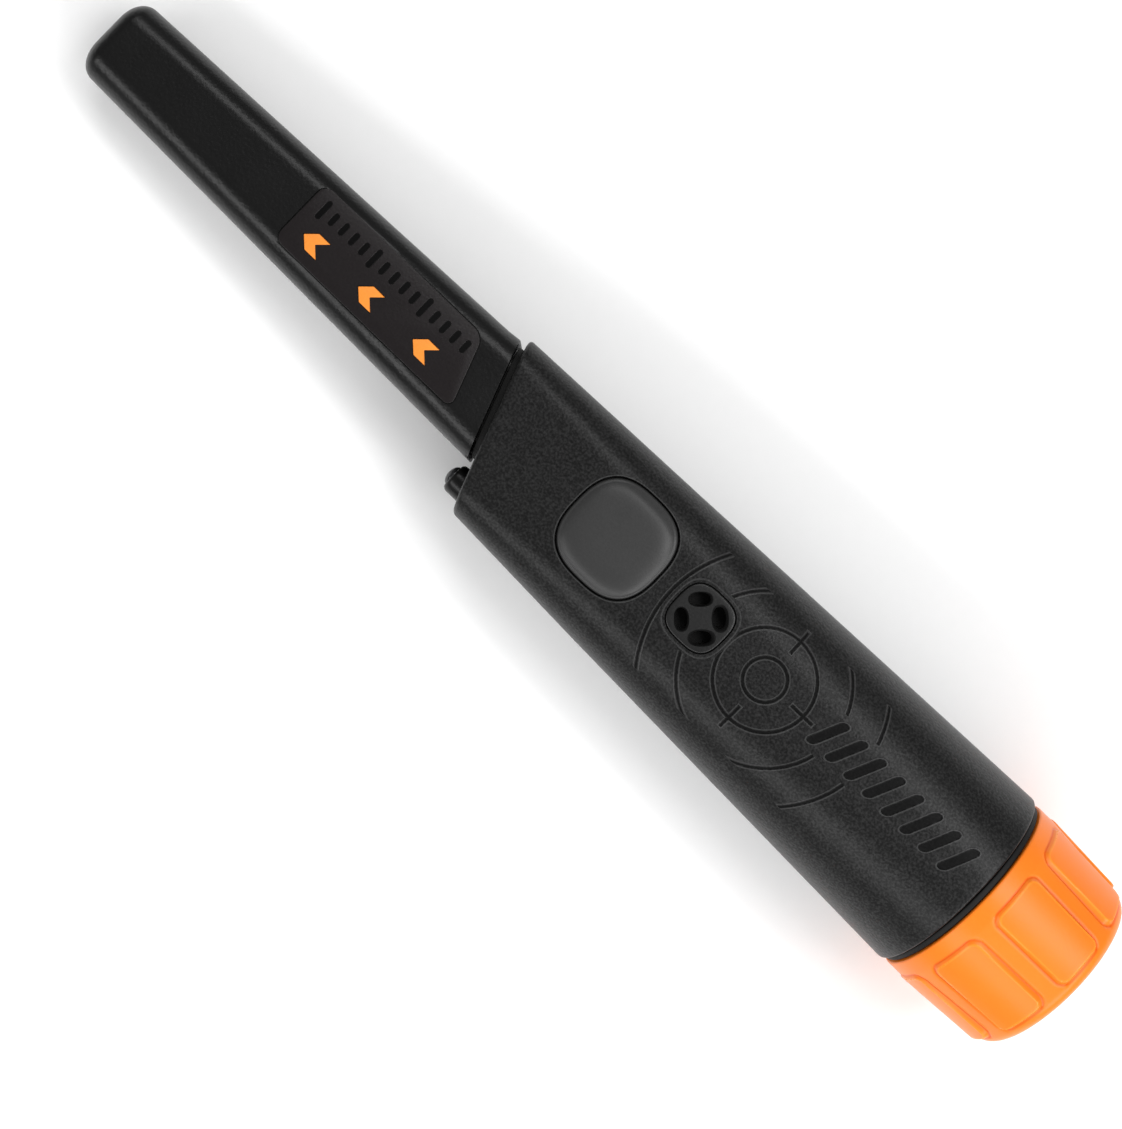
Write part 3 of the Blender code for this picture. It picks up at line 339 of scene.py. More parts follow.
@dataclass(frozen=True)
class HandleFinish(GrainedPlastic):
    """The handle's grained plastic, with its engraved ripple rings, ticks and slanted capsules, painted
    light along their edges as highlight and painted dark inside as shade.
    """

    ring_centre: tuple[float, float] = (39.3, 1.2)
    ring_radii: tuple[float, ...] = (3.9, 9.1, 15.4, 22.4)
    line_half: float = 0.22
    depth: float = 0.34
    soft: float = 0.14
    rim: float = 0.24
    reach_y: float = 13.2
    ticks: tuple[float, float] = (6.4, 11.2)
    grille: tuple[float, float, float, float] = (23.95, 1.1, 5.47, 3.0)
    button: tuple[float, float, float, float] = (3.9, 1.0, 9.7, 2.7)
    clearance: float = 1.2
    capsules: tuple[float, float, int] = (53.5, 84.5, 8)
    capsule_y: float = 2.1
    capsule_half: float = 2.55
    capsule_r: float = 0.85
    capsule_lean: float = 0.4375
    row_clear: tuple[float, float] = (50.0, 4.4)
    end_fade: float = 0.2
    out_of_reach: float = 3.0
    front: tuple[float, float] = (4.0, 6.0)
    rim_highlight_level: float = 0.045
    groove_shade_level: float = 0.002

    def ticked(self, dx: Value, dy: Value) -> Value:
        """How far a point lies from the three ticks that cross the second ring."""
        near, far = self.ticks
        middle, half = (near + far) / 2, (far - near) / 2
        one = abs(dy).at_least(abs(dx - middle) - (half - self.line_half))
        two = abs(dx).at_least(abs(abs(dy) - middle) - (half - self.line_half))
        return one.at_most(two)

    def outside(self, x: Value, y: Value, opening: tuple[float, float, float, float]) -> Value:
        """How far a point lies outside an opening, given as its middle, its half width and its power."""
        middle_x, middle_y, half, power = opening
        return (abs(x - middle_x) ** power + abs(y - middle_y) ** power) ** (1.0 / power) - half

    def lines(self, x: Value, y: Value) -> Value:
        """How far a point lies from the middle of the nearest ring or tick.

        Args:
            x: The point's place along the device.
            y: Its place across the button face.

        Returns:
            The distance; where a ring is broken off, it is out of reach.
        """
        dx, dy = x - self.ring_centre[0], y - self.ring_centre[1]
        away = length_of(dx, dy)
        rings = abs(away - self.ring_radii[0])
        for radius in self.ring_radii[1:]:
            rings = rings.at_most(abs(away - radius))
        row_x, row_y = self.row_clear
        fade, beyond = self.end_fade, self.out_of_reach
        shut = self.outside(x, y, self.grille).ramp(self.clearance, self.clearance - 0.3)
        shut = shut.at_least(abs(y).ramp(self.reach_y - fade, self.reach_y + fade))
        side = abs(y - self.capsule_y).ramp(row_y + fade, row_y - fade)
        beside = x.ramp(row_x - fade, row_x + fade) * side
        return (rings + shut.at_least(beside) * beyond).at_most(self.ticked(dx, dy))

    def capsule_away(self, x: Value, y: Value) -> Value:
        """How far a point lies outside the nearest capsule."""
        first, last, count = self.capsules
        leaning = x - (y - self.capsule_y) * self.capsule_lean - first
        across = leaning.folded((last - first) / (count - 1))
        along = (abs(y - self.capsule_y) - self.capsule_half).at_least(0.0)
        beyond = leaning.ramp(-1.6, -1.8).at_least((leaning - (last - first)).ramp(1.6, 1.8))
        return length_of(across, along) + beyond * self.out_of_reach - self.capsule_r

    def lip(self, away: Value, start: float, wide: float) -> Value:
        """The band beside an edge, slightly raised and carrying a painted highlight, from how far a point
        lies outside it.
        """
        return abs(away - (start + wide / 2)).ramp(wide * 0.75, wide * 0.25)

    def made(self) -> bpy.types.Material:
        """Make the finish.

        Returns:
            The finished material.
        """
        shader = Shader(self.name)
        spot = shader.device_vector()
        x, y, z = shader.axes(spot)
        facing = z.ramp(*self.front)
        lines, capsules = self.lines(x, y) - self.line_half, self.capsule_away(x, y)
        rings = lines.ramp(self.soft, -self.soft) * facing
        slots = capsules.ramp(self.soft, -self.soft) * facing
        rim = self.lip(lines, 0.08, self.rim).at_least(self.lip(capsules, 0.1, self.rim))
        rim = rim.at_least(self.lip(self.outside(x, y, self.grille), 0.55, self.rim) * 0.7)
        rim = rim.at_least(self.lip(self.outside(x, y, self.button), 0.35, self.rim * 0.8)) * facing
        cloud = shader.noise(spot, 0.07, 4.0, 0.6)
        speck = shader.noise(spot, self.per_mm, 2.0)
        tone = (cloud - 0.5) * 0.3 + (speck - 0.5) * 1.8 + 0.45
        low = tuple(c * 0.35 for c in self.colour[:3]) + (1.0,)
        high = tuple(c * 1.9 for c in self.colour[:3]) + (1.0,)
        # Painted highlight: the band beside each groove, slot and opening is lightened towards a mid grey,
        # standing in for light caught on the edge.
        shader.set(base_color=shader.mixed(rim * 0.6, shader.mixed(tone, low, high), grey(self.rim_highlight_level)))
        shader.set(roughness=(cloud - 0.5) * 0.05 + (speck - 0.5) * 0.14 + self.roughness)
        shader.set(coat_weight=speck.ramp(0.40, 0.68) * 0.26)
        shader.surface.inputs["Coat Roughness"].default_value = 0.45
        shader.surface.inputs["Specular IOR Level"].default_value = self.specular
        cut = rings.at_least(slots)
        shader.relief(self.height(shader, spot) * (1.0 - cut) - cut * self.depth + rim * 0.06)
        # Painted shade: the floors of the rings, ticks and capsule slots turn near black, standing in for
        # the shadow inside them.
        deep = (lines.ramp(0.05, -0.15) * 0.9).at_least(capsules.ramp(0.05, -0.15) * 0.85)
        shader.sink(deep * facing, self.groove_shade_level, 0.7)
        return shader.material


@dataclass(frozen=True)
class CapFinish(GrainedPlastic):
    """The cap's orange plastic, painted darker in the moats round its grip pads as shade and paler along
    their lips as highlight.
    """

    pads: int = 8
    pad_half: float = math.radians(16.0)
    pad_phase: float = math.radians(12.0)
    pad_x: tuple[float, float] = (96.0, 113.2)
    corner: float = 1.9
    moat: tuple[float, float] = (0.30, 0.38)
    lip: tuple[float, float] = (-0.50, 0.34)

    def pad_away(self, x: Value, y: Value, z: Value) -> Value:
        """How far a point lies outside the nearest grip pad."""
        middle, half = sum(self.pad_x) / 2, (self.pad_x[1] - self.pad_x[0]) / 2
        offset = (y.angle_from(z) - self.pad_phase).folded(2 * math.pi / self.pads)
        along = abs(x - middle) - (half - self.corner)
        across = (offset - self.pad_half) * length_of(y, z) + self.corner
        outer = length_of(along.at_least(0.0), across.at_least(0.0))
        return outer + along.at_least(across).at_most(0.0) - self.corner

    def made(self) -> bpy.types.Material:
        """Make the finish.

        Returns:
            The finished material.
        """
        shader = Shader(self.name)
        spot = shader.device_vector()
        away = self.pad_away(*shader.axes(spot))
        moat = abs(away - self.moat[0]).ramp(self.moat[1], 0.05)
        lip = abs(away - self.lip[0]).ramp(self.lip[1], 0.08)
        cloud = shader.noise(spot, 0.08, 3.0)
        speck = shader.noise(spot, self.per_mm, 2.0)
        red, green, blue = self.colour[:3]
        tone = (cloud - 0.5) * 0.5 + (speck - 0.5) * self.speckle + 0.5
        deep, pale = (red * 0.93, green * 0.85, blue, 1.0), (red, green * 1.12, blue * 1.3, 1.0)
        plain = shader.mixed(tone, deep, pale)
        # Painted highlight: the pads' lips are paled towards yellow-white, standing in for light caught on
        # their edges.
        lip_highlighted = shader.mixed(lip * 0.6, plain, (red, green * 1.45, blue * 3.0, 1.0))
        # Painted shade: the moats round the pads are darkened towards brown.
        shader.set(base_color=shader.mixed(moat * 0.75, lip_highlighted, (red * 0.8, green * 0.5, blue * 0.3, 1.0)))
        shader.set(roughness=(speck - 0.5) * 0.12 + (cloud - 0.5) * 0.1 + self.roughness - lip * 0.06)
        shader.surface.inputs["Specular IOR Level"].default_value = self.specular
        shader.relief(self.height(shader, spot))
        return shader.material


@dataclass(frozen=True)
class LabelFinish(GrainedPlastic):
    """The nose's inlaid label, with a row of sunken black ticks like a plain scale."""

    row: tuple[float, float] = (-73.9, -38.9)
    row_y: float = 6.8
    tick_half: float = 1.55
    pitch: float = 2.5
    tick_r: float = 0.5

    def made(self) -> bpy.types.Material:
        """Make the finish.

        Returns:
            The finished material.
        """
        shader = Shader(self.name)
        spot = shader.device_vector()
        x, y, _ = shader.axes(spot)
        first, last = self.row
        along = x - first
        tall = along.folded(self.pitch * 5).ramp(self.pitch * 0.45, self.pitch * 0.4)
        half = tall * 0.7 + (self.tick_half - 0.75)
        reach = (abs(y - self.row_y) - half).at_least(0.0)
        inside = length_of(along.folded(self.pitch), reach).ramp(self.tick_r + 0.12, self.tick_r - 0.12)
        inside = inside * along.ramp(-0.8, -0.6) * (along - (last - first)).ramp(0.8, 0.6)
        speck = shader.noise(spot, 2.6, 2.0)
        low = tuple(c * 0.7 for c in self.colour[:3]) + (1.0,)
        shader.set(base_color=shader.mixed(speck, low, self.colour))
        shader.set(roughness=speck * 0.1 + (self.roughness - 0.05))
        shader.surface.inputs["Specular IOR Level"].default_value = self.specular
        shader.relief(self.height(shader, spot) - inside * 0.35)
        shader.sink(inside.ramp(0.4, 0.9), 0.001, 0.5)
        return shader.material


@dataclass(frozen=True)
class Rubber:
    """Moulded black rubber with a dusty bloom."""

    name: str
    level: float = 0.006
    roughness: float = 0.62
    specular: float = 0.2

    def made(self) -> bpy.types.Material:
        """Make the finish.

        Returns:
            The finished material.
        """
        shader = Shader(self.name)
        spot = shader.device_vector()
        bloom = shader.noise(spot, 0.35, 5.0, 0.65)
        skin = shader.noise(spot, 2.6, 3.0)
        shader.set(base_color=shader.mixed(bloom, grey(self.level * 0.6), grey(self.level * 1.7, 0.03)))
        shader.set(roughness=bloom * 0.2 + (self.roughness - 0.1))
        shader.surface.inputs["Specular IOR Level"].default_value = self.specular
        shader.relief(skin * 0.02)
        return shader.material


@dataclass(frozen=True)
class Gloss:
    """Polished black plastic with faint swirl marks."""

    name: str
    level: float = 0.01

    def made(self) -> bpy.types.Material:
        """Make the finish.

        Returns:
            The finished material.
        """
        shader = Shader(self.name)
        spot = shader.device_vector()
        swirl = shader.noise(spot, 1.6, 4.0, 0.7)
        shader.set(base_color=shader.mixed(swirl, grey(self.level), grey(self.level * 2.0)))
        shader.set(roughness=swirl * 0.14 + 0.22)
        shader.surface.inputs["Specular IOR Level"].default_value = 0.25
        shader.relief(swirl * 0.006)
        return shader.material


@dataclass(frozen=True)
class Lens:
    """A moulded lens, clear or smoked."""

    name: str
    tint: tuple[float, float, float] = (0.9, 0.92, 0.93)
    clear: float = 0.65

    def made(self) -> bpy.types.Material:
        """Make the finish.

        Returns:
            The finished material.
        """
        shader = Shader(self.name)
        spot = shader.device_vector()
        haze = shader.noise(spot, 1.2, 3.0)
        low = tuple(c * 0.8 for c in self.tint) + (1.0,)
        shader.set(base_color=shader.mixed(haze, low, (*self.tint, 1.0)))
        shader.set(roughness=haze * 0.1 + 0.06)
        shader.surface.inputs["Transmission Weight"].default_value = self.clear
        shader.relief(haze * 0.01)
        return shader.material


class Lay(Enum):
    """Which way a metal's fine lines run."""

    ALONG = (0.35, 6.0, 6.0)
    ROUND = (7.0, 0.4, 0.4)
    FLAT = (3.0, 3.0, 3.0)


@dataclass(frozen=True)
class Metal:
    """Drawn or plated metal with fine lines and slight tarnish."""

    name: str
    colour: tuple[float, float, float, float]
    lay: Lay = Lay.FLAT
    roughness: float = 0.3

    def made(self) -> bpy.types.Material:
        """Make the finish.

        Returns:
            The finished material.
        """
        shader = Shader(self.name)
        spot = shader.device_vector()
        drawn = shader.node("ShaderNodeVectorMath", {"operation": "MULTIPLY"}, [spot, self.lay.value])
        lines = shader.noise(drawn.outputs[0], 1.0, 4.0, 0.65)
        tarnish = shader.noise(spot, 0.3, 4.0, 0.6)
        dull = tuple(c * 0.62 for c in self.colour[:3]) + (1.0,)
        shader.set(base_color=shader.mixed(tarnish * 0.6 + lines * 0.25, self.colour, dull), metallic=1.0)
        shader.set(roughness=lines * 0.18 + tarnish * 0.1 + (self.roughness - 0.12))
        shader.relief(lines * 0.01)
        return shader.material


@dataclass(frozen=True)
class Winding:
    """Enamelled copper wire laid turn beside turn."""

    name: str
    wire: float = 0.35

    def made(self) -> bpy.types.Material:
        """Make the finish.

        Returns:
            The finished material.
        """
        shader = Shader(self.name)
        spot = shader.device_vector()
        x, y, z = shader.axes(spot)
        turn = (z.angle_from(y - 3.5)) * (self.wire / (2 * math.pi))
        strand = (x - turn).folded(self.wire) / (self.wire / 2.0)
        crown = (1.0 - strand * strand).at_least(0.0).root()
        age = shader.noise(spot, 0.6, 3.0)
        dark, bright = (0.62, 0.26, 0.10, 1.0), (0.80, 0.42, 0.18, 1.0)
        shader.set(base_color=shader.mixed(age, dark, bright), metallic=0.9)
        shader.set(roughness=age * 0.15 + 0.22 + (1.0 - crown) * 0.2)
        shader.relief(crown * self.wire * 0.5)
        return shader.material


@dataclass(frozen=True)
class SolderMask:
    """Green circuit board with copper tracks, plated pads and a woven base."""

    name: str

    def made(self) -> bpy.types.Material:
        """Make the finish.

        Returns:
            The finished material.
        """
        shader = Shader(self.name)
        spot = shader.device_vector()
        x, y, z = shader.axes(spot)
        wander = shader.noise(spot, 0.08, 1.0)
        tracks = (y + wander * 14.0).folded(1.3).ramp(0.42, 0.36)
        tracks = tracks * shader.noise(spot, 0.13, 0.0).ramp(0.48, 0.52)
        pads = shader.cells(spot, 0.42).ramp(0.30, 0.24)
        weave = (x * 9.0).wave() * (y * 9.0).wave()
        green = shader.mixed(tracks, (0.012, 0.09, 0.035, 1.0), (0.03, 0.17, 0.07, 1.0))
        shader.set(base_color=shader.mixed(pads, green, (0.62, 0.56, 0.42, 1.0)))
        shader.set(metallic=pads * 0.8, roughness=0.42 - tracks * 0.08 - pads * 0.1)
        shader.relief(tracks * 0.035 + pads * 0.05 + weave * 0.004)
        return shader.material


@dataclass(frozen=True)
class BatteryJacket:
    """The block battery's printed steel jacket: two plain bands with a seam line."""

    name: str

    def made(self) -> bpy.types.Material:
        """Make the finish.

        Returns:
            The finished material.
        """
        shader = Shader(self.name)
        spot = shader.device_vector()
        x, y, _ = shader.axes(spot)
        scuff = shader.noise(spot, 0.5, 5.0, 0.7)
        band = x.ramp(93.9, 94.1)
        rim = abs(x - 94.0).ramp(0.5, 0.35)
        paint = shader.mixed(band, (0.012, 0.013, 0.016, 1.0), (0.45, 0.30, 0.12, 1.0))
        paint = shader.mixed(rim, paint, (0.7, 0.7, 0.68, 1.0))
        shader.set(base_color=shader.mixed(scuff.ramp(0.62, 0.75) * 0.5, paint, (0.35, 0.35, 0.35, 1.0)))
        shader.set(roughness=scuff * 0.25 + 0.2, metallic=band * 0.6)
        shader.relief(scuff * 0.01 - abs(y - 12.4).ramp(0.2, 0.05) * 0.08)
        return shader.material


@dataclass(frozen=True)
class Sintered:
    """Pressed ferrite, dark and slightly porous."""

    name: str

    def made(self) -> bpy.types.Material:
        """Make the finish.

        Returns:
            The finished material.
        """
        shader = Shader(self.name)
        spot = shader.device_vector()
        pores = shader.cells(spot, 2.2).ramp(0.0, 0.35)
        cloud = shader.noise(spot, 0.5, 4.0)
        shader.set(base_color=shader.mixed(cloud, grey(0.03, 0.05), grey(0.075, 0.03)))
        shader.set(roughness=0.8 - pores * 0.15)
        shader.relief(pores * 0.03 + cloud * 0.02)
        return shader.material


class Finish(Enum):
    """Every finish on the device."""

    HANDLE = HandleFinish("handle_plastic", grey(0.0070), 0.40, 0.042, 2.3, 0.20)
    NOSE = GrainedPlastic("nose_plastic", grey(0.0024), 0.32, 0.034, 2.2, 0.33)
    LABEL = LabelFinish("label_plastic", (0.0100, 0.0076, 0.0081, 1.0), 0.34, 0.016, 3.0, 0.30)
    BUTTON = GrainedPlastic("button_plastic", grey(0.032), 0.40, 0.010, 3.2, 0.32, 0.5)
    GRILLE = GrainedPlastic("grille_plastic", grey(0.009), 0.36, 0.016, 3.0, 0.38)
    CAP = CapFinish("cap_plastic", (0.90, 0.200, 0.010, 1.0), 0.34, 0.010, 2.2, 0.26, 0.4)
    CHEVRON = GrainedPlastic("inlay_orange", (0.93, 0.27, 0.035, 1.0), 0.42, 0.006, 3.0, 0.35, 0.3)
    INNER = GrainedPlastic("inner_plastic", grey(0.11), 0.55, 0.02, 2.4, 0.4)
    CHIP = GrainedPlastic("chip_epoxy", grey(0.02), 0.5, 0.012, 4.0, 0.4)
    NYLON = GrainedPlastic("former_nylon", grey(0.62, 0.06), 0.45, 0.01, 2.0, 0.4)
    SEAL = Rubber("seal_rubber")
    FOAM = Rubber("pad_foam", 0.02, 0.9)
    LEAD = GrainedPlastic("lead_sleeve", (0.42, 0.015, 0.012, 1.0), 0.45, 0.01, 2.0, 0.5)
    LAMP = Gloss("lamp_gloss", 0.004)
    LENS = Lens("lens_clear")
    SMOKED = Lens("lens_smoked", (0.035, 0.036, 0.04), 0.35)
    STEEL = Metal("steel_plated", (0.66, 0.66, 0.67, 1.0), Lay.FLAT, 0.32)
    TURNED = Metal("steel_turned", (0.62, 0.61, 0.60, 1.0), Lay.ROUND, 0.3)
    SPRING = Metal("spring_gilt", (0.78, 0.55, 0.24, 1.0), Lay.ALONG, 0.28)
    COPPER = Winding("copper_winding")
    BOARD = SolderMask("board_mask")
    JACKET = BatteryJacket("battery_jacket")
    FERRITE = Sintered("ferrite_core")


class Paintshop:
    """Makes each finish once and hands it out."""

    def __init__(self) -> None:
        """Start with no finish made."""
        self._made: dict[Finish, bpy.types.Material] = {}

    def get(self, finish: Finish) -> bpy.types.Material:
        """The material of a finish."""
        if finish not in self._made:
            self._made[finish] = finish.value.made()
        return self._made[finish]


# -------------------------------------------------------------------------------- mesh tools


def skin(rows: Sequence[Row], around: int) -> bmesh.types.BMesh:
    """Wrap a grid round a run of rows, welding its seam and any pole or shared end.

    Args:
        rows: Each gives a point for a share of a turn from 0 to 1.
        around: How many faces there are round each row.

    Returns:
        The closed skin.
    """
    bm = bmesh.new()
    bmesh.ops.create_grid(bm, x_segments=len(rows) - 1, y_segments=around, size=0.5)
    for vert in bm.verts:
        row = round((vert.co.x + 0.5) * (len(rows) - 1))
        turn = round((vert.co.y + 0.5) * around) % around / around
        vert.co = rows[row](turn)
    bmesh.ops.remove_doubles(bm, verts=bm.verts, dist=WELD)
    bmesh.ops.dissolve_degenerate(bm, edges=bm.edges, dist=WELD)
    bmesh.ops.recalc_face_normals(bm, faces=bm.faces)
    return bm


def lathe(profile: Profile, y: float, z: float, steps: int = 64) -> bmesh.types.BMesh:
    """Spin a profile of (x, radius) about an axis along X through (y, z).

    Args:
        profile: The outline in order; it closes on the axis or on itself.
        y: The axis's side position.
        z: The axis's height.
        steps: How many faces there are round it.

    Returns:
        The turned solid.
    """
    bm = bmesh.new()
    chain = [bm.verts.new((x, y + radius, z)) for x, radius in profile]
    edges = [bm.edges.new(pair) for pair in zip(chain, chain[1:])]
    if profile[0][1] > WELD or profile[-1][1] > WELD:
        edges.append(bm.edges.new((chain[-1], chain[0])))
    bmesh.ops.spin(
        bm,
        geom=chain + edges,
        cent=(0.0, y, z),
        axis=(1.0, 0.0, 0.0),
        angle=2 * math.pi,
        steps=steps,
        use_merge=True,
    )
    bmesh.ops.remove_doubles(bm, verts=bm.verts, dist=WELD)
    bmesh.ops.recalc_face_normals(bm, faces=bm.faces)
    return bm


def bevel(bm: bmesh.types.BMesh, edges: Sequence[bmesh.types.BMEdge], width: float, segments: int) -> None:
    """Round some edges."""
    options = {"affect": "EDGES", "profile": 0.5, "material": -1}
    bmesh.ops.bevel(bm, geom=list(edges), offset=width, segments=segments, **options)


def rounded(profile: Profile, radius: float, segments: int = 3) -> list[tuple[float, float]]:
    """Round the corners of a profile, other than its ends.

    Args:
        profile: The outline.
        radius: How much of each side a corner takes.
        segments: How many chords make a corner.

    Returns:
        The rounded outline.
    """
    done = [profile[0]]
    for before, here, after in zip(profile, profile[1:], profile[2:]):
        corner, one, two = Vector(here), Vector(before) - Vector(here), Vector(after) - Vector(here)
        take = min(radius, one.length * 0.45, two.length * 0.45)
        start, end = corner + one.normalized() * take, corner + two.normalized() * take
        for k in range(segments + 1):
            t = k / segments
            point = start * (1 - t) ** 2 + corner * 2 * t * (1 - t) + end * t * t
            done.append((point.x, point.y))
    done.append(profile[-1])
    return done


def squircle(turn: float, half_x: float, half_y: float, corner: float) -> tuple[float, float]:
    """A point on a rounded rectangle, at a share of a turn.

    Args:
        turn: The share of a turn.
        half_x: Half its length.
        half_y: Half its width.
        corner: Its corner radius.

    Returns:
        The point.
    """
    angle = 2 * math.pi * turn
    side_x, side_y = math.cos(angle), math.sin(angle)
    corner = min(corner, half_x, half_y)
    flat_x, flat_y = half_x - corner, half_y - corner
    steep = math.atan2(abs(side_y), abs(side_x))
    first, second = math.atan2(flat_y, half_x), math.atan2(half_y, flat_x)
    if steep <= first:
        x, y = half_x, half_x * math.tan(steep)
    elif steep >= second:
        x, y = (half_y / math.tan(steep) if steep < math.pi / 2 - 1e-6 else 0.0), half_y
    else:
        bend = math.pi / 2 * (steep - first) / (second - first)
        x, y = flat_x + corner * math.cos(bend), flat_y + corner * math.sin(bend)
    return math.copysign(x, side_x), math.copysign(y, side_y)


def pillow(turn: float, half: float, power: float) -> tuple[float, float]:
    """A point on a softly squared ring, at a share of a turn; the higher the power, the squarer."""
    side_x, side_y = math.cos(2 * math.pi * turn), math.sin(2 * math.pi * turn)
    reach = half / (abs(side_x) ** power + abs(side_y) ** power) ** (1.0 / power)
    return side_x * reach, side_y * reach


def eased(share: float) -> float:
    """A smooth step from 0 to 1."""
    share = min(max(share, 0.0), 1.0)
    return share * share * (3.0 - 2.0 * share)


def span(start: float, end: float, count: int) -> list[float]:
    """Evenly spaced values from start to end."""
    return [start + (end - start) * k / (count - 1) for k in range(count)]


def on_axis(x: float, radius: float, turn: float) -> Vector:
    """A point round the device's axis, at a share of a turn."""
    return Vector((x, radius * math.cos(2 * math.pi * turn), radius * math.sin(2 * math.pi * turn)))


def circle(x: float, radius: float) -> Row:
    """A plain round row about the device's axis."""
    return lambda turn: on_axis(x, radius, turn)


@dataclass(frozen=True)
class Thread:
    """A rounded ridge wound round the device's axis, fading in and out at its ends."""

    start: float
    turns: float
    root: float
    crest: float
    pitch: float = 3.0 * MM
    half_width: float = 0.72 * MM
    flank: float = 0.42 * MM
    fade: float = 0.12

    def radius(self, x: float, turn: float) -> float:
        """The threaded wall's radius.

        Args:
            x: The station on the axis.
            turn: The share of a turn.

        Returns:
            The radius.
        """
        along = (x - self.start) / self.pitch - turn
        nearest = min(max(round(along), 0), math.ceil(self.turns - turn) - 1)
        away = abs(along - nearest) * self.pitch
        wound = nearest + turn
        fade = min(wound / self.fade, (self.turns - wound) / self.fade, 1.0)
        rise = eased((self.half_width - away) / self.flank) * max(fade, 0.0)
        return self.root + (self.crest - self.root) * rise

    def row(self, x: float) -> Row:
        """A round row of the threaded wall."""
        return lambda turn: on_axis(x, self.radius(x, turn), turn)


@dataclass
class Bench:
    """Turns a finished bmesh into a piece that rides on the CAD."""

    paints: Paintshop

    def piece(
        self,
        name: str,
        bm: bmesh.types.BMesh,
        finish: Finish,
        body: str,
        nodes: Sequence[str],
        slot: str,
        cuts: Sequence[bmesh.types.BMesh] = (),
    ) -> bpy.types.Object:
        """Place, cut, smooth, paint and mount one piece.

        Args:
            name: The piece's name.
            bm: Its shape in the device's frame; it is freed here.
            finish: Its finish.
            body: The CAD body it rides on.
            nodes: The CAD nodes it stands for.
            slot: The record's material slot; not used.
            cuts: Solids taken out of it.

        Returns:
            The piece.
        """
        obj = self._object(name, bm)
        for k, cut in enumerate(cuts):
            self._take_out(obj, self._object(f"{name}_cut_{k}", cut))
        obj.data.materials.clear()
        obj.data.materials.append(self.paints.get(finish))
        obj.data.shade_smooth()
        obj.data.set_sharp_from_angle(angle=SMOOTH_ANGLE)
        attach(obj, body)
        if nodes:
            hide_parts(*nodes)
        LOG.info("%s: %d faces on %s", name, len(obj.data.polygons), body)
        return obj

    def _object(self, name: str, bm: bmesh.types.BMesh) -> bpy.types.Object:
        """Make an object with its place in its mesh.

        Args:
            name: Its name.
            bm: Its shape in the device's frame; it is freed here.

        Returns:
            The object.
        """
        bmesh.ops.transform(bm, matrix=DEVICE, verts=bm.verts)
        mesh = bpy.data.meshes.new(name)
        bm.to_mesh(mesh)
        bm.free()
        obj = bpy.data.objects.new(name, mesh)
        bpy.context.scene.collection.objects.link(obj)
        return obj

    def _take_out(self, obj: bpy.types.Object, tool: bpy.types.Object) -> None:
        """Cut one object out of another and remove it.

        Args:
            obj: The object that is cut.
            tool: The solid taken out of it.
        """
        step = obj.modifiers.new("cut", "BOOLEAN")
        step.operation, step.solver, step.object = "DIFFERENCE", "EXACT", tool
        view = bpy.context.evaluated_depsgraph_get()
        cut = bpy.data.meshes.new_from_object(obj.evaluated_get(view))
        obj.modifiers.clear()
        old, obj.data = obj.data, cut
        bpy.data.meshes.remove(old)
        cut.name = obj.name
        bpy.data.objects.remove(tool)


# -------------------------------------------------------------------------------- the handle


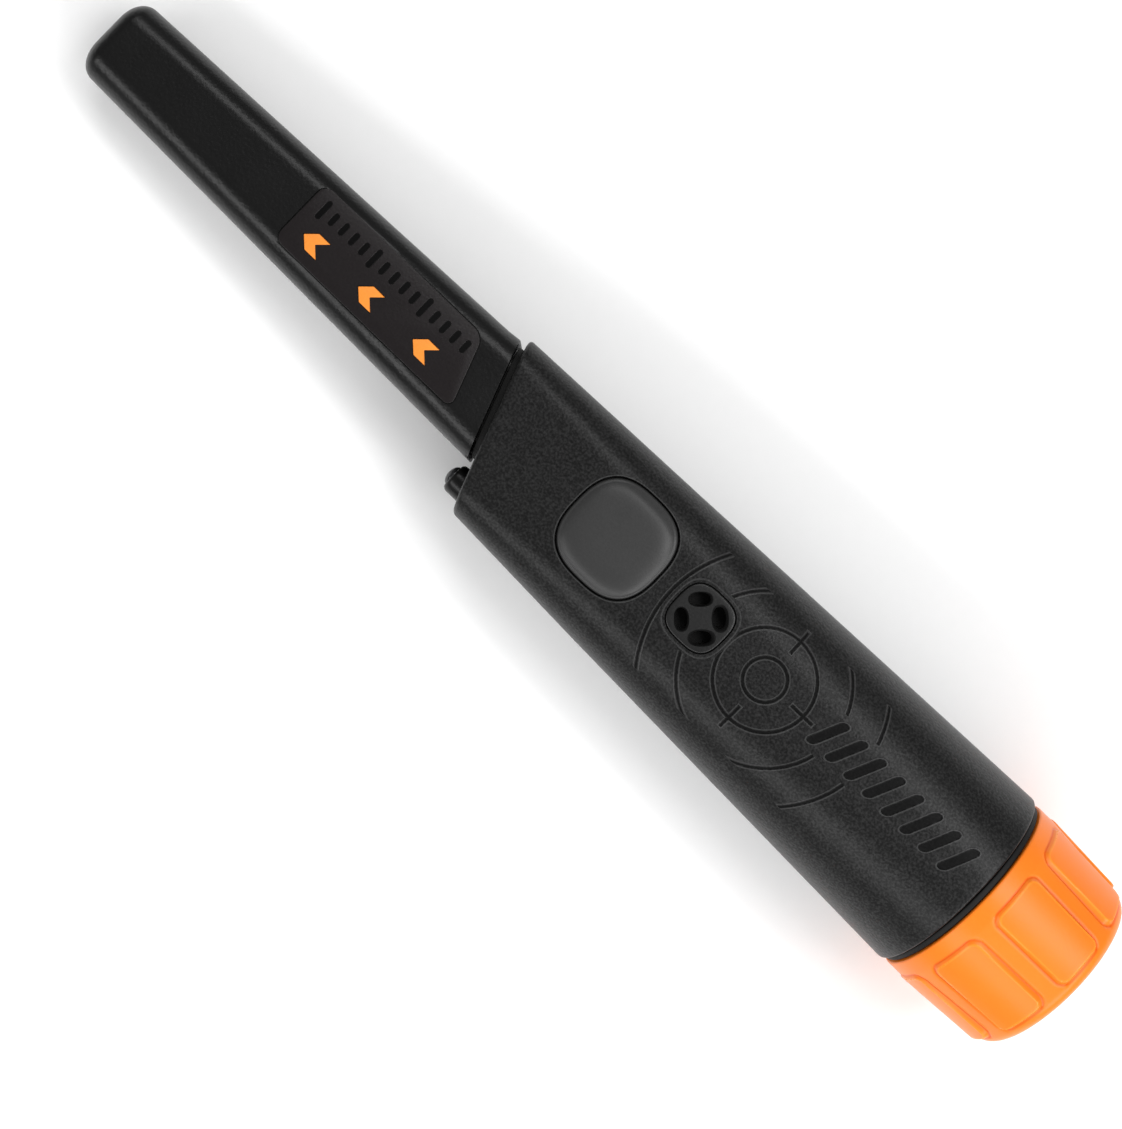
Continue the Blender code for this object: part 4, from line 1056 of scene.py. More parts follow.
@dataclass
class Handle:
    """The tapered shell, from its slanted front to its threaded neck."""

    bench: Bench
    front_x: float = -26.1 * MM
    lean: float = -0.360
    lean_ends: float = 10.0 * MM
    end_x: float = 90.9 * MM
    half_width_0: float = 16.80 * MM
    width_slope: float = 0.0339
    half_depth_0: float = 14.654 * MM
    depth_slope: float = 0.0577
    top_flat: tuple[float, float] = (10.5 * MM, 1.0 * MM)
    back_flat: tuple[float, float] = (9.0 * MM, 3.0 * MM)
    side_flat: tuple[float, float] = (7.5 * MM, 0.5 * MM)
    lip_round: float = 0.9 * MM
    end_round: float = 0.5 * MM
    wall: float = 2.0 * MM
    front_wall: float = 2.2 * MM
    bore_r: float = 16.0 * MM
    bay_x: float = 50.0 * MM
    cavity_x: float = 48.0 * MM
    lead_hole_r: float = 4.0 * MM
    neck_r: float = 17.0 * MM
    neck_end_x: float = 103.0 * MM
    thread: Thread = Thread(95.2 * MM, 2.0, 17.0 * MM, 17.6 * MM)
    around: int = 192

    def share(self, x: float) -> float:
        """How far a station lies along the handle, from 0 to 1."""
        return min(max((x - self.front_x) / (self.end_x - self.front_x), 0.0), 1.0)

    def blend(self, pair: tuple[float, float], x: float) -> float:
        """A size that changes evenly from the front to the end."""
        return pair[0] + (pair[1] - pair[0]) * self.share(x)

    def section(self, x: float, inset: float = 0.0) -> Row:
        """The handle's section at a station.

        Args:
            x: The station on the axis.
            inset: How far inside the outer skin it runs.

        Returns:
            A row of the skin.
        """
        reach = self.lean_ends - self.front_x - self.front_wall
        lean = self.lean * min(max((self.lean_ends - x) / reach, 0.0), 1.0)
        width = self.half_width_0 + self.width_slope * x - inset
        depth = self.half_depth_0 - inset
        side = self.blend(self.side_flat, x)

        def row(turn: float) -> Vector:
            """A point of the section.

            Args:
                turn: The share of a turn.

            Returns:
                The point.
            """
            angle = 2 * math.pi * turn
            out, up = math.cos(angle), math.sin(angle)
            flat = self.blend(self.top_flat if up >= 0 else self.back_flat, x)
            steep = math.atan2(abs(up), abs(out))
            first, second = math.atan2(side, width), math.atan2(depth, flat)
            if steep <= first:
                y, z = width, width * math.tan(steep)
            elif steep >= second:
                upright = steep >= math.pi / 2 - 1e-6
                y, z = (0.0 if upright else depth / math.tan(steep)), depth
            else:
                bend = math.pi / 2 * (steep - first) / (second - first)
                y, z = flat + (width - flat) * math.cos(bend), side + (depth - side) * math.sin(bend)
            y, z = math.copysign(y, out), math.copysign(z, up)
            at = x + lean * y
            return Vector((at, y, z * (1.0 + self.depth_slope * at / depth)))

        return row

    def face_z(self, x: float, y: float) -> float:
        """The height of the button face over a point."""
        flat, side = self.blend(self.top_flat, x), self.blend(self.side_flat, x)
        depth = self.half_depth_0 + self.depth_slope * x
        width = self.half_width_0 + self.width_slope * x
        over = min(max((abs(y) - flat) / (width - flat), 0.0), 1.0)
        side *= depth / self.half_depth_0
        return side + (depth - side) * math.sqrt(1.0 - over * over)

    def rows(self, mouth: Callable[[float], Row]) -> list[Row]:
        """Every row of the shell, out over the handle and back through the inside.

        Args:
            mouth: Gives the nose opening's section at a station.

        Returns:
            The rows, the last the same as the first.
        """
        front, end, inside = self.front_x, self.end_x, self.front_x + self.front_wall
        rows = [mouth(front - 0.02 * MM)]
        for k in range(9):
            bend = math.pi / 2 * (1 - k / 8)
            lip = self.lip_round
            back = lip * (1 - math.cos(math.pi / 2 - bend))
            rows.append(self.section(front + back, lip * (1 - math.cos(bend))))
        rows += [self.section(x) for x in span(front + 2.2 * MM, end - self.end_round, 96)]
        for k in range(1, 5):
            bend = math.pi / 2 * k / 4
            inset = self.end_round * (1 - math.cos(bend))
            rows.append(self.section(end - self.end_round * (1 - math.sin(bend)), inset))
        rows += [circle(end, self.neck_r + 1.4 * MM), circle(end, self.neck_r)]
        rows += [self.thread.row(x) for x in span(end + 1.6 * MM, self.neck_end_x - 0.5 * MM, 66)]
        tip = self.neck_end_x
        rows.append(circle(tip - 0.12 * MM, self.neck_r - 0.1 * MM))
        rows.append(circle(tip, self.neck_r - 0.4 * MM))
        rows += [circle(tip, self.bore_r + 0.1 * MM), circle(tip - 0.1 * MM, self.bore_r)]
        rows += [circle(x, self.bore_r) for x in (80.0 * MM, self.bay_x)]
        rows += [circle(self.bay_x, self.lead_hole_r), circle(self.cavity_x, self.lead_hole_r)]
        rows += [self.section(x, self.wall) for x in span(self.cavity_x, -10.0 * MM, 12)]
        rows += [self.section(inside, 1.2 * MM), mouth(inside), mouth(front - 0.02 * MM)]
        return rows

    def opening(self, x: float, y: float, half: float, power: float) -> bmesh.types.BMesh:
        """A softly squared cutter standing through the button face.

        Args:
            x: Its middle along the device.
            y: Its middle across the button face.
            half: Half its width.
            power: How square it is.

        Returns:
            The cutter.
        """
        sizes = (half * 0.6, half, half, half * 0.6)
        levels = (-5.0 * MM, -4.9 * MM, 3.0 * MM, 3.1 * MM)
        middle = self.face_z(x, y)
        rows: list[Row] = [lambda _: Vector((x, y, middle + levels[0]))]
        for size, level in zip(sizes, levels):

            def row(turn: float, size: float = size, level: float = level) -> Vector:
                """A point of the cutter."""
                dx, dy = pillow(turn, size, power)
                return Vector((x + dx, y + dy, middle + level + self.depth_slope * dx))

            rows.append(row)
        rows.append(lambda _: Vector((x, y, middle + levels[-1])))
        return skin(rows, 96)

    def build(self, mouth: Callable[[float], Row], cuts: Sequence[bmesh.types.BMesh]) -> None:
        """Make the shell.

        Args:
            mouth: Gives the nose opening's section at a station.
            cuts: The openings in it.
        """
        shell, node = skin(self.rows(mouth), self.around), "body_shell"
        self.bench.piece("handle_shell", shell, Finish.HANDLE, "handle", [node], "handle_plastic", cuts)


# -------------------------------------------------------------------------------- the nose


@dataclass
class Nose:
    """The sensing nose, its gasket, its label and the chevrons let into it."""

    bench: Bench
    front_x: float = -26.1 * MM
    lean: float = -0.360
    tip_x: float = -125.8 * MM
    tip_y: tuple[float, float] = (11.8 * MM, -5.1 * MM)
    base_y: tuple[float, float] = (14.7 * MM, -7.2 * MM)
    half_depth: tuple[float, float] = (7.0 * MM, 11.0 * MM)
    corner: float = 5.0 * MM
    necking: float = 1.6 * MM
    gap: float = 1.5 * MM
    spigot_end: float = -14.0 * MM
    wall: float = 1.8 * MM
    tip_round: float = 4.2 * MM
    tip_length: float = 3.9 * MM
    tip_crown: float = 0.35 * MM
    around: int = 160
    label_x: tuple[float, float, float] = (-77.1 * MM, -32.9 * MM, -37.8 * MM)
    label_y: tuple[float, float] = (-3.05 * MM, 10.56 * MM)
    label_gap: float = 0.2 * MM
    chevrons: tuple[float, float, float] = (-70.1 * MM, -56.6 * MM, -43.1 * MM)
    chevron_y: float = 1.3 * MM
    chevron_half: float = 1.9 * MM
    chevron_arm: float = 1.4 * MM
    chevron_lean: float = 2.0 * MM
    label_corner: float = 2.2 * MM

    def share(self, x: float) -> float:
        """How far a station lies along the nose."""
        return (x - self.tip_x) / (self.front_x - self.tip_x)

    def face_z(self, x: float) -> float:
        """The height of the nose's upper face."""
        return self.half_depth[0] + (self.half_depth[1] - self.half_depth[0]) * self.share(x)

    def section(self, x: float, inset: float = 0.0, lean: float = 0.0) -> Row:
        """The nose's section at a station.

        Args:
            x: The station.
            inset: How far inside the outer skin it runs.
            lean: How much it slants with Y.

        Returns:
            A row of the skin.
        """
        part = self.share(x)
        top = self.tip_y[0] + (self.base_y[0] - self.tip_y[0]) * part
        low = self.tip_y[1] + (self.base_y[1] - self.tip_y[1]) * part
        depth = self.face_z(x) - inset
        centre, width = (top + low) / 2, (top - low) / 2 - inset
        corner = max(self.corner - inset * 0.8, min(0.9 * MM, width, depth))

        def row(turn: float) -> Vector:
            """A point of the section."""
            y, z = squircle(turn, width, depth, corner)
            return Vector((x + lean * (centre + y), centre + y, z))

        return row

    def mouth(self, x: float) -> Row:
        """The opening in the handle's front that the nose stands in."""
        return self.section(x, 0.2 * MM, self.lean)

    def housing(self) -> bmesh.types.BMesh:
        """The hollow housing, from its tip over the shoulder and spigot and back inside.

        Returns:
            The housing.
        """
        part = self.share(self.tip_x)
        middle = (self.tip_y[0] + self.tip_y[1]) / 2 + part
        rows: list[Row] = [lambda _: Vector((self.tip_x, middle, 0.0))]
        for k in range(1, 6):
            size = k / 5 * (self.half_depth[0] - self.tip_round)
            x = self.tip_x + self.tip_crown * (k / 5) ** 2
            rows.append(self.section(x, self.half_depth[0] - size))
        for k in range(1, 13):
            bend = math.pi / 2 * k / 12
            x = self.tip_x + self.tip_crown + (self.tip_length - self.tip_crown) * (1 - math.cos(bend))
            rows.append(self.section(x, self.tip_round * (1 - math.sin(bend))))
        shoulder = self.front_x - self.gap
        stations = span(self.tip_x + self.tip_length + 1.5 * MM, shoulder - 8.0 * MM, 30)
        rows += [self.section(x) for x in stations]
        rows.append(self.section(shoulder - 0.4 * MM, 0.0, self.lean))
        for k in range(1, 4):
            bend = math.pi / 2 * k / 3
            x = shoulder - 0.25 * MM * (1 - math.sin(bend))
            rows.append(self.section(x, 0.25 * MM * (1 - math.cos(bend)), self.lean))
        rows.append(self.section(shoulder, self.necking, self.lean))
        rows.append(self.section(self.spigot_end, self.necking))
        inner = self.necking + self.wall * 0.8
        rows += [self.section(self.spigot_end, inner), self.section(self.front_x - 2.0 * MM, inner)]
        rows += [self.section(-80.0 * MM, self.wall), self.section(self.tip_x + 2.4 * MM, self.wall)]
        rows.append(lambda _: Vector((self.tip_x + 2.4 * MM, middle, 0.0)))
        return skin(rows, self.around)

    def plate(
        self, outline: Sequence[tuple[float, float]], corner: float, levels: tuple[float, float], edge: float
    ) -> bmesh.types.BMesh:
        """A flat plate lying on the nose's sloping face; a notched one is split from tip to notch.

        Args:
            outline: Its corners as (x, y).
            corner: How much its upright corners are rounded.
            levels: The heights of its underside and top over the face.
            edge: How much its top edge is rounded.

        Returns:
            The plate.
        """
        bm = bmesh.new()
        corners = [bm.verts.new((x, y, 0.0)) for x, y in outline]
        bm.faces.new(corners)
        if len(outline) == 6:
            bmesh.ops.connect_verts(bm, verts=[corners[0], corners[3]])
        high = levels[1] - levels[0]
        top = bmesh.ops.extrude_face_region(bm, geom=list(bm.faces))["geom"]
        raised = [part for part in top if isinstance(part, bmesh.types.BMVert)]
        bmesh.ops.translate(bm, verts=raised, vec=(0.0, 0.0, high))
        upright = [e for e in bm.edges if abs(e.verts[0].co.z - e.verts[1].co.z) > high / 2]
        bevel(bm, upright, corner, 8)
        above = [e for e in bm.edges if min(v.co.z for v in e.verts) > high / 2]
        if edge > 0.0:
            bevel(bm, [e for e in above if e.calc_face_angle(0.0) > 1.0], edge, 3)
        for vert in bm.verts:
            vert.co.z += self.face_z(vert.co.x) + levels[0]
        bmesh.ops.recalc_face_normals(bm, faces=bm.faces)
        return bm

    def label_outline(self, shrink: float) -> list[tuple[float, float]]:
        """The label's four corners.

        Args:
            shrink: The clearance they are drawn in by.

        Returns:
            The corners in order.
        """
        left, low_right, high_right = self.label_x
        low, high = self.label_y
        return [
            (left + shrink, low + shrink),
            (low_right - shrink * 1.4, low + shrink),
            (high_right - shrink * 0.8, high - shrink),
            (left + shrink, high - shrink),
        ]

    def chevron_outline(self, x: float, grow: float) -> list[tuple[float, float]]:
        """A chevron pointing to the tip.

        Args:
            x: Its middle along the device.
            grow: How much larger than the inlay it is.

        Returns:
            Its corners in order, from its point.
        """
        half, arm = self.chevron_half + grow, self.chevron_arm + grow
        point, y = self.chevron_lean * half / self.chevron_half, self.chevron_y
        return [
            (x - arm - point, y),
            (x - arm, y - half),
            (x + arm, y - half),
            (x + arm - point, y),
            (x + arm, y + half),
            (x - arm, y + half),
        ]

    def build(self) -> None:
        """Make the nose's pieces."""
        recess = self.plate(self.label_outline(0.0), self.label_corner, (-0.35 * MM, 1.0 * MM), 0.0)
        shape, node = self.housing(), "probe_housing"
        self.bench.piece("nose_housing", shape, Finish.NOSE, "handle", [node], "nose_plastic", [recess])
        corner = self.label_corner - self.label_gap
        label = self.plate(self.label_outline(self.label_gap), corner, (-0.33 * MM, 0.0), 0.1 * MM)
        wells = [
            self.plate(self.chevron_outline(x, 0.1 * MM), 0.1 * MM, (-0.26 * MM, 0.6 * MM), 0.0)
            for x in self.chevrons
        ]
        self.bench.piece("nose_label", label, Finish.LABEL, "handle", ["label_inlay"], "nose_plastic", wells)
        for name, x in zip(("front", "middle", "rear"), self.chevrons):
            bar = self.plate(self.chevron_outline(x, 0.0), 0.15 * MM, (-0.26 * MM, 0.04 * MM), 0.08 * MM)
            node = f"chevron_inlay_{name}"
            self.bench.piece(f"chevron_{name}", bar, Finish.CHEVRON, "handle", [node], "inlay_orange")
        self.gasket()

    def gasket(self) -> None:
        """Make the dark band between nose and handle."""
        start, end = self.front_x - self.gap + 0.25 * MM, self.front_x + 1.9 * MM
        outer, inner = 0.9 * MM, self.necking - 0.1 * MM
        rows = [self.section(start, inner, self.lean), self.section(start, outer + 0.15 * MM, self.lean)]
        rows += [self.section(start + 0.15 * MM, outer, self.lean), self.section(end, outer, self.lean)]
        rows += [self.section(end, inner, self.lean), self.section(start, inner, self.lean)]
        band = skin(rows, self.around)
        self.bench.piece("nose_gasket", band, Finish.SEAL, "handle", ["probe_gasket"], "seal_rubber")


# -------------------------------------------------------------------------------- the controls


@dataclass
class Controls:
    """The push button, the speaker grille and the lamp."""

    bench: Bench
    handle: Handle
    button: tuple[float, float] = (3.9 * MM, 1.0 * MM)
    button_half: float = 9.7 * MM
    button_power: float = 2.7
    button_crown: float = 0.92 * MM
    grille: tuple[float, float] = (23.95 * MM, 1.1 * MM)
    grille_half: float = 5.47 * MM
    grille_power: float = 3.0
    gap: float = 0.3 * MM
    flange: float = 0.9 * MM
    lamp_y: float = -11.1 * MM
    lamp_r: float = 2.95 * MM
    lamp_tip: float = -25.25 * MM

    def openings(self) -> list[bmesh.types.BMesh]:
        """The cutters for the handle's three openings.

        Returns:
            The button's, the grille's and the lamp's.
        """
        start, end, radius = -32.0 * MM, -15.0 * MM, self.lamp_r + 0.25 * MM
        lamp = [(start, 0.0), (start, radius), (end, radius), (end, 0.0)]
        return [
            self.handle.opening(*self.button, self.button_half + self.gap, self.button_power),
            self.handle.opening(*self.grille, self.grille_half + 0.12 * MM, self.grille_power),
            lathe(lamp, self.lamp_y, 0.0, 48),
        ]

    def ring(
        self, place: tuple[float, float], half: float, power: float, level: float, hug: float = 0.0
    ) -> Row:
        """A softly squared row over the button face.

        Args:
            place: Its middle.
            half: Half its width.
            power: How square it is.
            level: Its height over the face at its middle.
            hug: How far it follows the face's rounding, from 0 to 1.

        Returns:
            A row of a skin.
        """
        x, y = place
        middle = self.handle.face_z(x, y)

        def row(turn: float) -> Vector:
            """A point of the row."""
            dx, dy = pillow(turn, half, power)
            plane = middle + self.handle.depth_slope * dx
            drop = min(self.handle.face_z(x + dx, y + dy) - plane, 0.0)
            return Vector((x + dx, y + dy, plane + level + hug * drop))

        return row

    def make_button(self) -> None:
        """Make the pillow-topped button."""
        place, half, power, edge = self.button, self.button_half, self.button_power, 0.55 * MM
        x, y = place
        post = 2.2 * MM
        rows: list[Row] = [lambda _: Vector((x, y, 8.8 * MM))]
        for radius, height in ((post - 0.3 * MM, 8.8 * MM), (post, 9.1 * MM), (post, 9.9 * MM)):
            rows.append(
                lambda turn, r=radius, z=height: Vector(
                    (x + r * math.cos(2 * math.pi * turn), y + r * math.sin(2 * math.pi * turn), z)
                )
            )
        rows += [self.ring(place, half + self.flange, power, level) for level in (-4.2 * MM, -3.6 * MM)]
        rows.append(self.ring(place, half, power, -3.6 * MM))
        rows += [self.ring(place, half, power, level, 1.0) for level in (-2.0 * MM, -0.7 * MM)]
        for k in range(1, 7):
            bend = math.pi / 2 * k / 6
            level = -0.55 * MM + edge * math.sin(bend)
            rows.append(self.ring(place, half - edge * (1 - math.cos(bend)), power, level, 1.0))
        rim = half - edge
        for k in range(1, 21):
            size = 1.0 - (k / 21) ** 1.4
            level = self.button_crown * (1.0 - size**7.0)
            rows.append(self.ring(place, rim * size, power, level, size))
        top = self.handle.face_z(x, y) + self.button_crown
        rows.append(lambda _: Vector((x, y, top)))
        button, node = skin(rows, 120), "button_cap"
        self.bench.piece("push_button", button, Finish.BUTTON, "button", [node], "button_plastic")

    def make_grille(self) -> None:
        """Make the grille, a plate with four rounded openings round a cross."""
        place, half, power, edge = self.grille, self.grille_half, self.grille_power, 0.35 * MM
        x, y = place
        rows: list[Row] = [lambda _: Vector((x, y, self.handle.face_z(x, y) - 3.0 * MM))]
        rows += [self.ring(place, half + self.flange, power, level) for level in (-3.0 * MM, -2.4 * MM)]
        rows += [self.ring(place, half, power, -2.4 * MM), self.ring(place, half, power, -0.5 * MM)]
        for k in range(1, 5):
            bend = math.pi / 2 * k / 4
            level = -0.45 * MM + edge * math.sin(bend)
            rows.append(self.ring(place, half - edge * (1 - math.cos(bend)), power, level))
        rows.append(self.ring(place, half - 0.9 * MM, power, -0.1 * MM))
        rows.append(lambda _: Vector((x, y, self.handle.face_z(x, y) - 0.1 * MM)))
        sides = (-1.0, 1.0)
        cuts = [self.grille_hole(side_x, side_y) for side_x in sides for side_y in sides]
        name, plate, node = "speaker_grille_plate", skin(rows, 96), "speaker_grille"
        self.bench.piece(name, plate, Finish.GRILLE, "handle", [node], "handle_plastic", cuts)

    def grille_hole(self, side_x: float, side_y: float) -> bmesh.types.BMesh:
        """A cutter for one oval hole, lying across its diagonal, with a flared mouth.

        Args:
            side_x: Which side of the grille's middle it is on, along the device.
            side_y: Which side it is on, across the button face.

        Returns:
            The cutter.
        """
        away, wide, deep, power = 2.38 * MM, 1.9 * MM, 1.16 * MM, 2.3
        spot = Vector((self.grille[0] + side_x * away, self.grille[1] + side_y * away, 0.0))
        outward = Vector((side_x, side_y, 0.0)).normalized()
        across = Vector((-outward.y, outward.x, 0.0))
        top = self.handle.face_z(*self.grille)
        foot, head = -4.5 * MM, 1.5 * MM
        levels = ((foot, 1.0), (-0.9 * MM, 1.0), (-0.4 * MM, 1.08), (0.23 * MM, 1.4), (head, 1.41))
        rows: list[Row] = [lambda _: spot + Vector((0.0, 0.0, top + foot))]
        for level, flare in levels:

            def row(turn: float, level: float = level, flare: float = flare) -> Vector:
                """A point of the cutter."""
                one, two = pillow(turn, flare, power)
                flat = spot + across * (one * wide) + outward * (two * deep)
                return flat + Vector((0.0, 0.0, top + level))

            rows.append(row)
        rows.append(lambda _: spot + Vector((0.0, 0.0, top + head)))
        return skin(rows, 40)

    def make_lamp(self) -> None:
        """Make the lamp's tube, with its rounded nose, and its domed lens."""
        r, tip, nose, wall = self.lamp_r, self.lamp_tip, 1.1 * MM, 0.8 * MM
        profile = [(tip, r - wall)]
        for k in range(9):
            bend = math.pi / 2 * k / 8
            profile.append((tip + nose * (1 - math.cos(bend)), r - (wall - 0.1 * MM) * (1 - math.sin(bend))))
        profile += [(-16.0 * MM, r), (-16.0 * MM, r - wall)]
        tube = lathe(profile, self.lamp_y, 0.0, 64)
        self.bench.piece("lamp_tube", tube, Finish.LAMP, "handle", ["lamp_bezel"], "lamp_gloss")
        inner = r - 0.95 * MM
        dome = [(tip + 2.2 * MM, 0.0), (tip + 2.2 * MM, inner)]
        for k in range(9):
            bend = math.pi / 2 * k / 8
            dome.append((tip + 0.1 * MM - 1.2 * MM * math.sin(bend), inner * math.cos(bend)))
        dome[-1] = (dome[-1][0], 0.0)
        lens = lathe(dome, self.lamp_y, 0.0, 48)
        self.bench.piece("lamp_dome", lens, Finish.SMOKED, "handle", ["lamp_lens"], "lens_clear")

    def build(self) -> None:
        """Make the controls."""
        self.make_button()
        self.make_grille()
        self.make_lamp()


# -------------------------------------------------------------------------------- the cap


@dataclass
class Cap:
    """The screw-on battery cap, with raised grip pads, and the seal ahead of it."""

    bench: Bench
    start_x: float = 92.5 * MM
    end_x: float = 115.7 * MM
    collar_x: float = 95.9 * MM
    radius: float = 19.55 * MM
    end_radius: float = 18.1 * MM
    fillet: float = 2.5 * MM
    floor: float = 2.2 * MM
    step_x: float = 104.4 * MM
    root_r: float = 18.0 * MM
    thread: Thread = Thread(96.7 * MM, 1.75, 18.0 * MM, 17.35 * MM)
    pads: int = 8
    pad_half: float = math.radians(16.0)
    pad_phase: float = math.radians(12.0)
    pad_x: tuple[float, float] = (96.0 * MM, 113.2 * MM)
    pad_r: tuple[float, float] = (19.83 * MM, 18.93 * MM)
    pad_corner: float = 1.9 * MM
    pad_edge: float = 0.42 * MM
    moat: tuple[float, float] = (0.36 * MM, 0.42 * MM)
    moat_depth: float = 0.20 * MM
    around: int = 448
    seal_x: tuple[float, float] = (91.15 * MM, 92.25 * MM)
    seal_r: float = 19.2 * MM

    def outside_r(self, x: float) -> float:
        """The plain cone's radius at a station."""
        if x <= self.collar_x:
            return self.radius
        cone = self.end_x - self.fillet
        part = min((x - self.collar_x) / (cone - self.collar_x), 1.0)
        return self.radius + (self.end_radius - self.radius) * part

    def pad_away(self, x: float, angle: float) -> float:
        """How far a point lies outside the nearest grip pad.

        Args:
            x: The station on the axis.
            angle: The point's angle from the button face.

        Returns:
            The distance, below 0 inside the pad.
        """
        period = 2 * math.pi / self.pads
        offset = (angle - self.pad_phase + period / 2) % period - period / 2
        start, end = self.pad_x
        along = abs(x - (start + end) / 2) - (end - start) / 2 + self.pad_corner
        across = (abs(offset) - self.pad_half) * self.outside_r(x) + self.pad_corner
        outer = math.hypot(max(along, 0.0), max(across, 0.0))
        return outer + min(max(along, across), 0.0) - self.pad_corner

    def outer_row(self, x: float) -> Row:
        """A row over the grip pads and the fine moats round them.

        Args:
            x: The station on the axis.

        Returns:
            A row of the skin.
        """
        start, end = self.pad_x
        top = self.pad_r[0] + (self.pad_r[1] - self.pad_r[0]) * (x - start) / (end - start)

        def row(turn: float) -> Vector:
            """A point of the row."""
            angle = 2 * math.pi * turn
            base = self.outside_r(x)
            away = self.pad_away(x, math.pi / 2 - angle)
            moat = eased(1.0 - abs(away - self.moat[0]) / self.moat[1]) * self.moat_depth
            radius = base + (top - base) * eased(-away / self.pad_edge) - moat
            return Vector((x, radius * math.cos(angle), radius * math.sin(angle)))

        return row

    def rows(self) -> list[Row]:
        """Every row of the cap, from the middle of its floor to the middle of its end.

        Returns:
            The rows in order.
        """
        bottom, inset = self.end_x - self.floor, 0.35 * MM
        rows = [circle(bottom, 0.0), circle(bottom, 14.6 * MM), circle(bottom - 0.6 * MM, 15.2 * MM)]
        rows += [circle(self.step_x, 15.9 * MM), circle(self.step_x, self.root_r)]
        rows += [self.thread.row(x) for x in span(self.step_x - 0.3 * MM, self.start_x + 0.5 * MM, 40)]
        rows += [circle(self.start_x, radius) for radius in (self.root_r + 0.3 * MM, self.radius - inset)]
        for k in range(1, 5):
            bend = math.pi / 2 * k / 4
            x = self.start_x + inset * (1 - math.cos(bend))
            rows.append(circle(x, self.radius - inset * (1 - math.sin(bend))))
        collar = span(self.start_x + 0.8 * MM, self.collar_x - 0.2 * MM, 4)
        rows += [circle(x, self.radius) for x in collar]
        cone = self.end_x - self.fillet
        rows += [self.outer_row(x) for x in span(self.collar_x - 0.15 * MM, cone, 76)]
        for k in range(1, 11):
            bend = math.pi / 2 * k / 10
            drop = self.fillet * (1 - math.cos(bend))
            rows.append(circle(cone + self.fillet * math.sin(bend), self.end_radius - drop))
        rim = self.end_radius - self.fillet
        rows += [circle(self.end_x, rim * size) for size in (0.9, 0.6, 0.25)]
        rows.append(circle(self.end_x, 0.0))
        return rows

    def build(self) -> None:
        """Make the cap and its seal."""
        cap = skin(self.rows(), self.around)
        self.bench.piece("screw_cap", cap, Finish.CAP, "cap", ["battery_cap"], "cap_plastic")
        low, high = self.seal_x
        inner, outer = 17.3 * MM, self.seal_r
        start = ((low + high) / 2, inner)
        profile = [start, (low, inner), (low, outer), (high, outer), (high, inner), start]
        ring = lathe(rounded(profile, 0.3 * MM, 4)[:-1], 0.0, 0.0, 128)
        self.bench.piece("cap_seal", ring, Finish.SEAL, "handle", ["cap_seal_ring"], "seal_rubber")


# -------------------------------------------------------------------------------- the inside


@dataclass
class Inside:
    """The pieces that stay as the CAD makes them and only need their finish."""

    paints: Paintshop
    finishes: tuple[tuple[Finish, tuple[str, ...]], ...] = (
        (Finish.SEAL, ("acoustic_membrane", "speaker_gasket", "coil_lead")),
        (Finish.STEEL, ("speaker_can", "quartz_crystal", "smoothing_capacitor", "switch_plunger")),
        (Finish.TURNED, ("vibration_motor", "motor_weight", "battery_terminal_positive")),
        (Finish.TURNED, ("battery_terminal_negative", "board_screw_front_left", "board_screw_front_right")),
        (Finish.TURNED, ("board_screw_rear_left", "board_screw_rear_right")),
        (Finish.LENS, ("lamp_led",)),
        (Finish.BOARD, ("main_circuit_board", "contact_board")),
        (Finish.CHIP, ("tactile_switch", "microcontroller")),
        (Finish.INNER, ("motor_clip", "chassis_frame", "battery_guide_upper", "battery_guide_lower")),
        (Finish.SPRING, ("contact_spring_positive", "contact_spring_negative")),
        (Finish.JACKET, ("battery_9v",)),
        (Finish.FOAM, ("battery_pressure_pad",)),
        (Finish.FERRITE, ("ferrite_rod",)),
        (Finish.NYLON, ("coil_former",)),
        (Finish.COPPER, ("transmit_coil", "receive_coil")),
        (Finish.LEAD, ("battery_lead",)),
    )

    def build(self) -> None:
        """Give every kept piece its finish."""
        for finish, names in self.finishes:
            for name in names:
                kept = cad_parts[name]
                kept.data.materials.clear()
                kept.data.materials.append(self.paints.get(finish))
                LOG.info("%s: kept, with %s", name, finish.value.name)


# -------------------------------------------------------------------------------- the studio


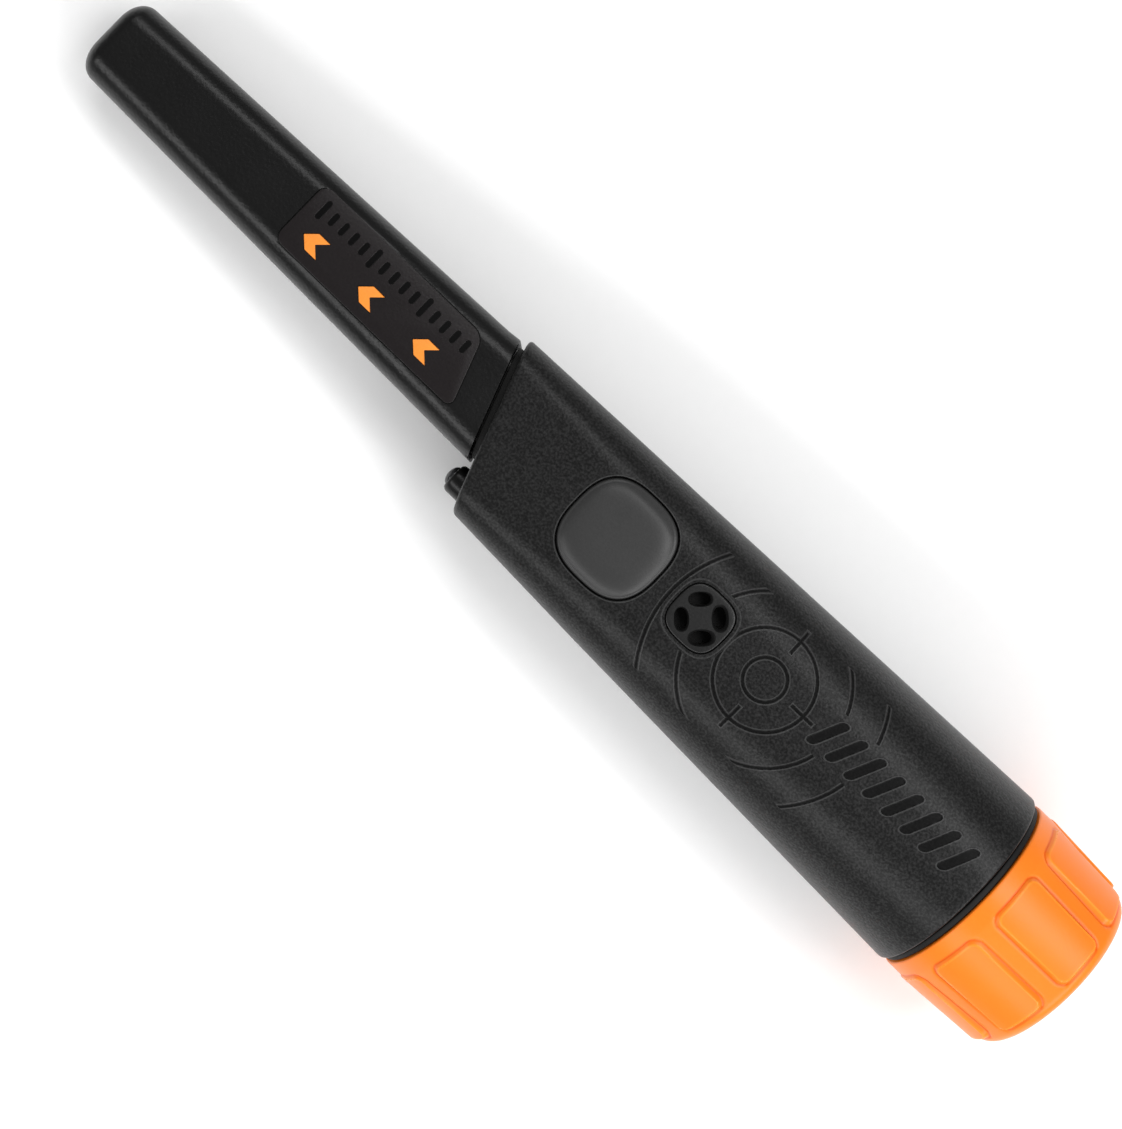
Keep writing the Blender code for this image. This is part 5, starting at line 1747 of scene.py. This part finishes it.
@dataclass
class Studio:
    """The pale floor, the soft lights and the camera over the button face."""

    height: float = 370.0 * MM
    offset_y: float = -9.06 * MM
    roll: float = math.radians(44.1)
    lens: float = 64.95
    sensor: float = 36.0
    floor_size: float = 6.0
    world: float = 0.24

    def floor(self) -> None:
        """Lay the floor."""
        bm = bmesh.new()
        bmesh.ops.create_grid(bm, x_segments=1, y_segments=1, size=self.floor_size / 2)
        mesh = bpy.data.meshes.new("studio_floor")
        bm.to_mesh(mesh)
        bm.free()
        obj = bpy.data.objects.new("studio_floor", mesh)
        bpy.context.scene.collection.objects.link(obj)
        shader = Shader("floor_paper")
        spot = shader.device_vector()
        fibre = shader.noise(spot, 0.4, 3.0)
        shader.set(base_color=shader.mixed(fibre, grey(0.93), grey(0.95)), roughness=fibre * 0.05 + 0.85)
        shader.surface.inputs["Specular IOR Level"].default_value = 0.1
        mesh.materials.append(shader.material)

    def light(self, name: str, spot: Vector, size: tuple[float, float], power: float, aim: Vector) -> None:
        """Hang one softbox.

        Args:
            name: The light's name.
            spot: Where it hangs, in the device's frame.
            size: Its length and width.
            power: Its power in watts.
            aim: What it points at, in the device's frame.
        """
        data = bpy.data.lights.new(name, "AREA")
        data.shape, data.size, data.size_y, data.energy = "RECTANGLE", size[0], size[1], power
        obj = bpy.data.objects.new(name, data)
        bpy.context.scene.collection.objects.link(obj)
        back = (spot - aim).normalized()
        along = Vector((1.0, 0.0, 0.0))
        along = (along - back * along.dot(back)).normalized()
        pose = Matrix((along, back.cross(along), back)).transposed().to_4x4()
        obj.matrix_world = DEVICE @ Matrix.Translation(spot) @ pose

    def camera(self) -> None:
        """Hang the camera straight over the button face, rolled so the device runs corner to corner."""
        data = bpy.data.cameras.new("overhead_camera")
        data.lens, data.sensor_width, data.sensor_fit = self.lens, self.sensor, "AUTO"
        data.clip_start, data.clip_end = 0.01, 20.0
        obj = bpy.data.objects.new("overhead_camera", data)
        bpy.context.scene.collection.objects.link(obj)
        turn = Matrix.Rotation(self.roll, 4, "Z")
        obj.matrix_world = DEVICE @ Matrix.Translation((0.0, self.offset_y, self.height)) @ turn
        bpy.context.scene.camera = obj

    def surroundings(self) -> None:
        """Fill the room with even soft light."""
        world = bpy.data.worlds.new("studio_room")
        world.use_nodes = True
        world.node_tree.nodes["Background"].inputs["Color"].default_value = (1.0, 1.0, 1.0, 1.0)
        world.node_tree.nodes["Background"].inputs["Strength"].default_value = self.world
        bpy.context.scene.world = world
        bpy.context.scene.view_settings.view_transform = "Standard"

    def build(self) -> None:
        """Set up the studio."""
        self.floor()
        self.surroundings()
        middle = Vector((0.0, 0.0, 0.0))
        self.light("strip_lower", Vector((0.0, -0.50, 0.46)), (1.2, 0.22), 3.3, middle)
        self.light("strip_upper", Vector((0.0, 0.36, 0.60)), (1.2, 0.18), 2.6, middle)
        self.light("key_cap_side", Vector((0.70, -0.10, 0.50)), (0.35, 0.8), 4.4, middle)
        self.light("over_cap", Vector((0.30, 0.24, 0.66)), (0.30, 0.20), 1.2, Vector((0.06, 0.0, 0.0)))
        self.camera()


# -------------------------------------------------------------------------------- assembly


def main() -> None:
    """Build the pinpointer and its studio."""
    logging.basicConfig(level=logging.INFO, format="%(message)s")
    paints = Paintshop()
    bench = Bench(paints)
    handle = Handle(bench)
    nose = Nose(bench)
    controls = Controls(bench, handle)
    handle.build(nose.mouth, controls.openings())
    nose.build()
    controls.build()
    Cap(bench).build()
    Inside(paints).build()
    Studio().build()


if __name__ == "__main__":
    main()
